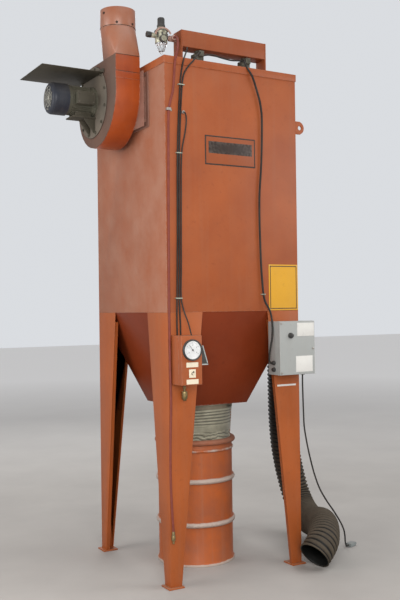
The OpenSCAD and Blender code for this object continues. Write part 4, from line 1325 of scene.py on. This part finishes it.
@dataclass
class AirHeader:
    """Square header tube with posts, pulse valves, regulator, bowl and gauge."""

    def build(self) -> None:
        """Dress the header and model its fittings."""
        Finishes.skin(Finishes.FLAT, 0.003, "air_header", segments=3)
        Finishes.skin(Finishes.FLAT, 0.001, "header_posts", segments=3)
        Finishes.skin(Finishes.RUSTY_PIPE, 0.0012, "supply_pipe")
        for node in ("pulse_valve_left", "pulse_valve_right"):
            self.valve(node)
        self.link_tube()
        self.regulator()

    def valve(self, node: str) -> None:
        """Dress one pulse valve and ring it with bolts."""
        Finishes.skin(Finishes.GRIMY, 0.0015, node)
        low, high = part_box(node)
        middle = Vector(((low[0] + high[0]) / 2, high[1] - 0.038, low[2] + 0.0675))
        ways = [spoke(math.tau * (k + 0.5) / 8) for k in range(8)]
        places = [middle + 0.031 * way for way in ways if way.y >= -0.3 or abs(way.x) >= 0.75]
        Finishes.put(Workshop.hex_heads(node + "_bolts", places, Axis.Z.vector, 0.0042, 0.003), Finishes.VALVE)

    def link_tube(self) -> None:
        """Model the fixed black tube that links the two valves under the header."""
        left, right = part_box("pulse_valve_left"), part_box("pulse_valve_right")
        y, z = left[0][1] - 0.004, left[0][2] + 0.062
        route = [(left[1][0] - 0.020, y + 0.018, z), (left[1][0] + 0.030, y, z + 0.006), (-0.05, y - 0.008, z - 0.004),
                 (0.03, y - 0.010, z - 0.012), (right[0][0] - 0.030, y - 0.002, z - 0.004),
                 (right[0][0] + 0.020, y + 0.018, z + 0.002)]
        line = smooth_line(route, 0.012)
        sides = 12
        points = [p for place in carried_frames(line, Axis.Z.vector) for p in ring_points(place, 0.0045, sides)]
        faces = tube_faces(len(line), sides)
        faces += [tuple(range(sides - 1, -1, -1)), tuple(range(len(points) - sides, len(points)))]
        tube = Workshop.raw("valve_link_tube", points, faces)
        Workshop.choose(tube)
        bpy.ops.object.shade_smooth_by_angle(angle=math.radians(40))
        Finishes.put(tube, Finishes.CABLE)

    def regulator(self) -> None:
        """Model the regulator's body, knob, bowl and gauge."""
        Finishes.skin(Finishes.VALVE, 0.0015, "regulator")
        Finishes.skin(Finishes.BOWL, 0.001, "filter_bowl")
        low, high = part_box("regulator_knob")
        x, y, _ = middle_of(low, high)
        height = high[2] - low[2]
        knob = Workshop.turned("knob_core", [(0.0225, 0.0), (0.0245, 0.001), (0.0235, 0.011), (0.0205, 0.013),
                                             (0.0198, height - 0.006), (0.0175, height - 0.001), (0.004, height)],
                               (x, y, low[2]), Axis.Z.vector, 40)
        ribs = [knob]
        for k in range(24):
            foot = Vector((x, y, low[2] + 0.014)) + 0.0200 * spoke(math.tau * k / 24)
            ribs.append(Workshop.rod("rib", foot, (foot.x, foot.y, high[2] - 0.006), 0.0011, 8, 0.0))
        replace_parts(Finishes.put_joined("regulator_handle", ribs, Finishes.BLACK), "regulator_knob")
        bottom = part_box("regulator")[0]
        case = Workshop.turned("small_gauge_case", [(0.019, 0.0), (0.0222, 0.0), (0.0222, 0.020), (0.0208, 0.0215),
                                                    (0.0182, 0.0215), (0.0176, 0.0195), (0.002, 0.0195)],
                               (x - 0.012, y - 0.0395, low[2] - 0.082), Axis.FRONT.vector, 40)
        plug = Workshop.rod("port_plug", (bottom[0] - 0.001, y, low[2] - 0.054), (bottom[0] + 0.026, y, low[2] - 0.054),
                            0.0185, 6, 0.0015)
        gap = Workshop.ring("cap_joint", (x, y, low[2] - 0.026), Axis.Z.vector, 0.0392, 0.0016, 48)
        slots = [case, plug, gap]
        for bearing in (-150, -108, -66, -24):
            foot = Vector((x, y, low[2] - 0.070)) + spoke(math.radians(bearing)) * 0.0358
            slots.append(Workshop.rod("body_slot", foot, foot + Vector((0, 0, 0.032)), 0.0042, 12, 0.001))
        Finishes.put_joined("regulator_details", slots, Finishes.BLACK)
        bends = [math.radians(172 - 16.5 * k) for k in range(10)]
        bow = [(x + 0.052 * math.cos(a), y - 0.030, low[2] - 0.062 + 0.050 * math.sin(a)) for a in bends]
        arch = [Workshop.rod("arch", start, end, 0.0052, 10, 0.0006) for start, end in zip(bow, bow[1:])]
        Finishes.put_joined("regulator_bracket", arch, Finishes.RUSTY_PIPE)


@dataclass
class ControlBox:
    """Control box on the left leg with its pressure gauge, plates, switch, socket and tap."""

    dial_ticks: int = 21

    def build(self) -> None:
        """Dress the box and model the gauge."""
        Finishes.skin(Finishes.ORANGE, 0.0018, "control_box", "control_cover", segments=3)
        Finishes.skin(Finishes.LABEL, 0.0005, "control_plates", segments=1)
        Finishes.skin(Finishes.BLACK, 0.002, "side_socket", segments=3)
        Finishes.skin(Finishes.BRASS, 0.001, "pressure_tap")
        Finishes.skin(Finishes.STEEL, 0.001, "clean_air_tap")
        low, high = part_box("control_cover")
        lips = [Workshop.block("cover_lip", (left, high[1] - 0.005, low[2] - 0.001),
                               (right, high[1] + 0.0004, high[2] + 0.001), 0.0004)
                for left, right in ((high[0] - 0.002, high[0] + 0.0012), (low[0] - 0.0012, low[0] + 0.002))]
        Finishes.put_joined("cover_lips", lips, Finishes.ORANGE)
        self.gauge()
        self.switch()

    def gauge(self) -> None:
        """Model the round pressure gauge with a scale, plain numbers and a needle."""
        low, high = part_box("pressure_gauge")
        x, _, z = middle_of(low, high)
        face, depth = low[1], high[1] - low[1]
        rim = Workshop.turned("gauge_rim", [(0.047, 0.0), (0.0597, 0.0), (0.0597, depth - 0.004), (0.0575, depth),
                                            (0.0535, depth), (0.0515, depth - 0.004), (0.0505, depth - 0.006),
                                            (0.020, depth - 0.006)], (x, high[1], z), Axis.FRONT.vector, 72)
        Finishes.put(rim, Finishes.BLACK)
        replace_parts(rim, "pressure_gauge")
        dial = Workshop.rod("gauge_dial", (x, face + 0.0062, z), (x, face + 0.0045, z), 0.0503, 64, 0.0)
        Finishes.put(dial, Finishes.DIAL)
        marks, middle = [], Vector((x, face + 0.0043, z))
        for k in range(self.dial_ticks):
            a = math.radians(210 - 240 * k / (self.dial_ticks - 1))
            length, thick = (0.009, 1.4) if k % 5 == 0 else (0.005, 1)
            mark = Workshop.block("mark", (-0.5, -0.0002, -0.0005), (0.5, 0.0002, 0.0005), 0.0)
            mark.matrix_world = Matrix.Translation(middle + spoke(a, Axis.Y) * (0.044 - length / 2)) @ \
                Matrix.Rotation(-a, 4, "Y") @ Matrix.Diagonal((length, 1, thick, 1))
            marks.append(Workshop.settle(mark))
        for k in range(5):
            marks.append(self.number(str(k), middle + spoke(math.radians(210 - 60 * k), Axis.Y) * 0.028))
        needle = Workshop.block("needle", (x - 0.0008, face + 0.0030, z - 0.010),
                                (x + 0.0008, face + 0.0036, z + 0.036), 0.0)
        Workshop.choose(needle)
        needle.matrix_world = Matrix.Translation(Vector((x, 0, z))) @ Matrix.Rotation(math.radians(-38), 4, "Y") @ \
            Matrix.Translation(Vector((-x, 0, -z)))
        marks.append(Workshop.settle(needle))
        marks.append(Workshop.rod("hub", (x, face + 0.0046, z), (x, face + 0.0022, z), 0.005, 24, 0.0004))
        Finishes.put_joined("gauge_marks", marks, Finishes.BLACK)

    @staticmethod
    def number(text: str, place: Vector) -> bpy.types.Object:
        """A small plain number on the dial, as a mesh."""
        Workshop.deselect()
        bpy.ops.object.text_add()
        letters = bpy.context.object
        letters.data.body = text
        letters.data.size = 0.011
        letters.data.extrude = 0.0002
        letters.data.align_x = "CENTER"
        letters.data.align_y = "CENTER"
        bpy.ops.object.convert(target="MESH")
        letters = bpy.context.object
        letters.matrix_world = Matrix.Translation(place) @ Matrix.Rotation(math.radians(90), 4, "X")
        return Workshop.settle(letters)

    def switch(self) -> None:
        """Model the toggle with its nut on the switch plate."""
        low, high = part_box("control_plates")
        x, z = (low[0] + high[0]) / 2 - 0.001, low[2] + 0.059
        nut = Workshop.rod("switch_nut", (x, low[1] + 0.0120, z), (x, low[1] + 0.0075, z), 0.0075, 6)
        lever = Workshop.rod("switch_lever", (x, low[1] + 0.0080, z), (x + 0.003, low[1] + 0.0015, z + 0.013), 0.0032,
                             16, 0.001, tip=0.0042)
        Finishes.put_joined("switch_toggle", [nut, lever], Finishes.BLACK)
        low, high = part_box("side_socket")
        edge = [Workshop.block("edge", (low[0], low[1] - 0.0008, low[2]), (high[0], low[1] + 0.0012, low[2] + 0.007),
                               0.0004)]
        start = Vector((high[0] - 0.004, low[1], low[2] + 0.012))
        end = Vector((low[0] + 0.007, low[1], high[2] - 0.002))
        slope = Workshop.block("edge", (-0.5, -0.001, -0.0028), (0.5, 0.001, 0.0028), 0.0)
        way = end - start
        slope.matrix_world = Matrix.Translation((start + end) / 2 + Vector((0, 0.0002, 0))) @ \
            Matrix.Rotation(-math.atan2(way.z, way.x), 4, "Y") @ Matrix.Diagonal((way.length, 1, 1, 1))
        edge.append(Workshop.settle(slope))
        Finishes.put_joined("socket_cover_edge", edge, Finishes.GREY)


@dataclass
class StarterBox:
    """Grey starter box on the right leg with its lid, labels, button and glands."""

    def build(self) -> None:
        """Dress the box and add its lid's folded rim, its screws and two bare labels."""
        Finishes.skin(Finishes.GREY, 0.002, "starter_box", "starter_lid", segments=3)
        Finishes.skin(Finishes.BLACK, 0.001, "starter_fittings")
        low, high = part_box("starter_lid")
        left, right, bottom, top = low[0] - 0.0015, high[0] + 0.0015, low[2] - 0.0015, high[2] + 0.0015
        rim = [Workshop.block("rim", (x0, high[1] - 0.004, z0), (x1, high[1] + 0.0004, z1), 0.0005)
               for x0, z0, x1, z1 in ((left, bottom, right, low[2] + 0.002), (left, high[2] - 0.002, right, top),
                                      (left, low[2], low[0] + 0.002, high[2]),
                                      (high[0] - 0.002, low[2], right, high[2]))]
        Finishes.put_joined("starter_lid_rim", rim, Finishes.GREY)
        face = low[1]
        for name, x0, z0, x1, z1 in (("upper_label", 0.358, 1.406, 0.484, 1.486),
                                     ("lower_label", 0.347, 1.191, 0.471, 1.287)):
            Finishes.put(Workshop.block(name, (x0, face - 0.0008, z0), (x1, face + 0.0003, z1), 0.0003), Finishes.WHITE)
        places = [(x, face, z) for x, z in ((0.242, 1.188), (0.476, 1.330), (0.242, 1.484))]
        Finishes.put(Workshop.hex_heads("starter_lid_screws", places, Axis.FRONT.vector, 0.0048, 0.003), Finishes.STEEL)


@dataclass
class InletDuct:
    """Collar on the right side and the ribbed hose that is pushed over it."""

    route: tuple[Point, ...] = (
        (0.4975, 0.15, 1.89), (0.5595, 0.15, 1.89), (0.6395, 0.15, 1.876), (0.7215, 0.15, 1.82), (0.7675, 0.15, 1.73),
        (0.7795, 0.15, 1.6), (0.7775, 0.15, 1.4), (0.7755, 0.15, 1.2), (0.7765, 0.15, 1.0), (0.7795, 0.15, 0.83),
        (0.7935, 0.15, 0.65), (0.818, 0.148, 0.5), (0.842, 0.138, 0.38), (0.856, 0.106, 0.27), (0.85, 0.036, 0.19),
        (0.826, -0.058, 0.154), (0.793, -0.158, 0.148), (0.756, -0.264, 0.166), (0.702, -0.374, 0.187),
        (0.63, -0.484, 0.183), (0.5495, -0.58, 0.152), (0.4915, -0.616, 0.119), (0.4455, -0.628, 0.084),
    )
    outer: float = 0.1
    groove: float = 0.0105
    rib_pitch: float = 0.0275
    sides: int = 48
    bore: float = 0.0895

    def build(self) -> None:
        """Dress the collar and model the hose and its clamp."""
        Finishes.skin(Finishes.ORANGE, 0.001, "inlet_collar")
        self.hose()
        clamp = Workshop.band("hose_clamp", (0.519, 0.15, 1.89), Axis.X.vector, 0.0995, 0.014, 0.0022)
        Finishes.put(clamp, Finishes.STEEL)
        lock = Workshop.rod("clamp_lock", (0.519, 0.134, 1.9935), (0.519, 0.166, 1.9935), 0.0055, 16)
        Finishes.put(lock, Finishes.STEEL)

    def hose(self) -> None:
        """Model the hose's ribbed wall with its open mouth."""
        line = smooth_line(self.route, 0.0036)
        frames = carried_frames(line, Axis.Y.vector)
        last = len(frames) - 1
        travelled, points, crests = 0.0, [], []
        for i, (point, normal, side) in enumerate(frames):
            if i:
                travelled += (point - line[i - 1]).length
            for k in range(self.sides):
                a = math.tau * k / self.sides
                wave = 0.5 + 0.5 * math.cos(math.tau * travelled / self.rib_pitch + a)
                crest = 1 - (1 - wave**0.6) * min(1.0, min(i, last - i) / 3)
                r = self.outer - 0.0008 - self.groove * (1 - crest)
                points.append(point + r * (math.cos(a) * normal + math.sin(a) * side))
                crests.append(crest)
        inner = [frames[i] for i in range(last, -1, -1) if i % 3 == 0 or i == last]
        for place in inner:
            points += ring_points(place, self.bore, self.sides)
        crests += [0.0] * (len(inner) * self.sides)
        faces = tube_faces(len(frames) + len(inner), self.sides, closed=True)
        piece = Workshop.raw("ribbed_hose", points, faces, crests)
        Workshop.choose(piece)
        bpy.ops.object.shade_smooth()
        Finishes.put(piece, Finishes.HOSE)
        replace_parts(piece, "inlet_hose")


@dataclass
class FreeLines:
    """Air hose, air tubes and cables that hang on the front."""

    hose_route: tuple[Point, ...] = (
        (-0.337, -0.383, 3.164), (-0.338, -0.412, 3.158), (-0.348, -0.446, 3.12), (-0.37, -0.48, 3.062),
        (-0.395, -0.496, 2.994), (-0.404, -0.497, 2.9), (-0.412, -0.497, 2.82), (-0.434, -0.496, 2.74),
        (-0.441, -0.495, 2.69), (-0.446, -0.495, 2.4), (-0.45, -0.495, 2), (-0.453, -0.495, 1.6), (-0.452, -0.495, 1.3),
        (-0.449, -0.495, 1.05), (-0.456, -0.495, 0.8), (-0.457, -0.495, 0.6), (-0.45, -0.495, 0.43),
        (-0.444, -0.495, 0.326),
    )
    left_route: tuple[Point, ...] = (
        (-0.27, -0.415, 3.106), (-0.282, -0.44, 3.092), (-0.312, -0.474, 3.052), (-0.34, -0.494, 3),
        (-0.356, -0.496, 2.93), (-0.364, -0.495, 2.86), (-0.376, -0.495, 2.69), (-0.386, -0.494, 2.468),
        (-0.39, -0.494, 2.25), (-0.393, -0.494, 2), (-0.398, -0.495, 1.8), (-0.402, -0.496, 1.64),
        (-0.405, -0.497, 1.56), (-0.406, -0.498, 1.49), (-0.406, -0.5, 1.431),
    )
    right_route: tuple[Point, ...] = (
        (-0.172, -0.4, 3.094), (-0.19, -0.42, 3.086), (-0.232, -0.462, 3.052), (-0.274, -0.494, 3.008),
        (-0.312, -0.496, 2.968), (-0.34, -0.495, 2.92), (-0.352, -0.495, 2.85), (-0.364, -0.495, 2.69),
        (-0.374, -0.494, 2.468), (-0.378, -0.494, 2.25), (-0.381, -0.494, 2), (-0.384, -0.495, 1.8),
        (-0.388, -0.496, 1.64), (-0.386, -0.497, 1.56), (-0.384, -0.498, 1.49), (-0.384, -0.5, 1.431),
    )
    gauge_route: tuple[Point, ...] = (
        (-0.344, -0.497, 2.704), (-0.34, -0.512, 2.692), (-0.336, -0.512, 2.65), (-0.344, -0.508, 2.58),
        (-0.358, -0.5, 2.5), (-0.362, -0.494, 2.42), (-0.366, -0.494, 2.2), (-0.369, -0.494, 2), (-0.372, -0.495, 1.8),
        (-0.375, -0.496, 1.64), (-0.368, -0.512, 1.57), (-0.356, -0.54, 1.5), (-0.348, -0.56, 1.431),
    )
    valve_route: tuple[Point, ...] = (
        (0.132, -0.402, 3.092), (0.118, -0.424, 3.084), (0.1, -0.462, 3.058), (0.098, -0.488, 3.018),
        (0.128, -0.498, 2.97), (0.16, -0.497, 2.89), (0.184, -0.497, 2.815), (0.196, -0.496, 2.729),
        (0.19, -0.494, 2.464), (0.172, -0.494, 2.228), (0.175, -0.494, 1.911), (0.186, -0.496, 1.7),
        (0.196, -0.502, 1.62), (0.224, -0.514, 1.56), (0.226, -0.534, 1.48), (0.214, -0.546, 1.4),
        (0.198, -0.548, 1.33), (0.19, -0.548, 1.272), (0.198, -0.545, 1.252), (0.214, -0.544, 1.248),
    )
    starter_route: tuple[Point, ...] = (
        (0.442, -0.538, 1.168), (0.442, -0.537, 1.12), (0.445, -0.535, 1.04), (0.45, -0.532, 0.94),
        (0.457, -0.528, 0.85), (0.473, -0.525, 0.77), (0.494, -0.521, 0.69), (0.515, -0.518, 0.62),
        (0.541, -0.514, 0.545), (0.581, -0.51, 0.455), (0.63, -0.514, 0.374), (0.683, -0.52, 0.3),
        (0.743, -0.514, 0.218), (0.802, -0.474, 0.15), (0.837, -0.44, 0.102), (0.868, -0.406, 0.05),
        (0.9, -0.379, 0.016), (0.926, -0.366, 0.012),
    )

    @staticmethod
    def line(node: str, route: Sequence[Point], radius: float, finish: Finish, length: float, far_end: str = "object",
             lay: str = "hanging", extras: Sequence[bpy.types.Object] = ()) -> bpy.types.Object:
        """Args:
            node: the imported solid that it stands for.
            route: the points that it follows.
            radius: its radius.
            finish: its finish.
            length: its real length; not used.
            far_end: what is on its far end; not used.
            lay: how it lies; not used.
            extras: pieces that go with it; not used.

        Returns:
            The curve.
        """
        data = bpy.data.curves.new(node + "_line", "CURVE")
        data.dimensions = "3D"
        data.bevel_depth = radius
        data.bevel_resolution = 3
        data.use_fill_caps = True
        points = smooth_line(route, 0.02)
        spline = data.splines.new("POLY")
        spline.points.add(len(points) - 1)
        for spot, point in zip(spline.points, points):
            spot.co = (*point, 1.0)
        spline.use_smooth = True
        piece = Finishes.put(Workshop.linked(node + "_line", data), finish)
        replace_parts(piece, node)
        measured = sum((b - a).length for a, b in zip(points, points[1:]))
        LOG.info("%s is %.4f m long", node, measured)
        return piece

    def build(self) -> None:
        """Model the lines, their fittings and their ties."""
        coupler = Finishes.skin(Finishes.BRASS, 0.0008, "hose_coupler")
        plug = Finishes.skin(Finishes.GREY_PLASTIC, 0.004, "starter_plug", segments=3)
        cable = Finishes.CABLE
        self.line("air_hose", self.hose_route, 0.0065, Finishes.RED_HOSE, 2.90, "connector", extras=[coupler])
        self.line("air_tube_left", self.left_route, 0.0045, cable, 1.73)
        self.line("air_tube_right", self.right_route, 0.0045, cable, 1.77)
        self.line("gauge_tube", self.gauge_route, 0.004, cable, 1.30)
        self.line("valve_cable", self.valve_route, 0.006, cable, 1.95)
        self.line("starter_cable", self.starter_route, 0.005, cable, 1.34, "plug", "loose", [plug])
        self.ties()

    def ties(self) -> None:
        """Pale ties that hold the tubes to the front panel, and a steel clip on the air hose."""
        clip = [Workshop.block("clip", (x0, y0, 2.704), (x1, y1, 2.719), 0.0005)
                for x0, y0, x1, y1 in ((-0.4520, -0.5042, -0.4285, -0.5028), (-0.4532, -0.5042, -0.4518, -0.4828),
                                       (-0.4299, -0.5042, -0.4285, -0.4828), (-0.4299, -0.4842, -0.4140, -0.4828))]
        Finishes.put_joined("hose_clip", clip, Finishes.STEEL)
        bands = []
        half, thick = 0.003, 0.0015
        for left, front, right, back, z in (
                (-0.376, -0.5, -0.338, -0.4832, 2.86), (-0.394, -0.4992, -0.356, -0.4832, 2.468),
                (-0.41, -0.5008, -0.369, -0.4832, 1.640), (0.178, -0.5022, 0.2015, -0.4832, 1.66)):
            bands.append(Workshop.block("tie", (left, front - 0.0012, z - half), (right, front + 0.0006, z + half),
                                        0.0005))
            for x in (left, right - thick):
                bands.append(Workshop.block("tie", (x, front - 0.001, z - half), (x + thick, back + 0.0007, z + half),
                                            0.0004))
        Finishes.put_joined("tube_ties", bands, Finishes.TIE)


def main() -> None:
    """Build the dressed machine in order."""
    logging.basicConfig(level=logging.INFO, format="%(message)s")
    Studio().build()
    FreeLines().build()
    for assembly in (Cabinet(), DustDrum(), Blower(), AirHeader(), ControlBox(), StarterBox(), InletDuct()):
        LOG.info("building %s", type(assembly).__name__)
        assembly.build()


if __name__ == "__main__":
    main()
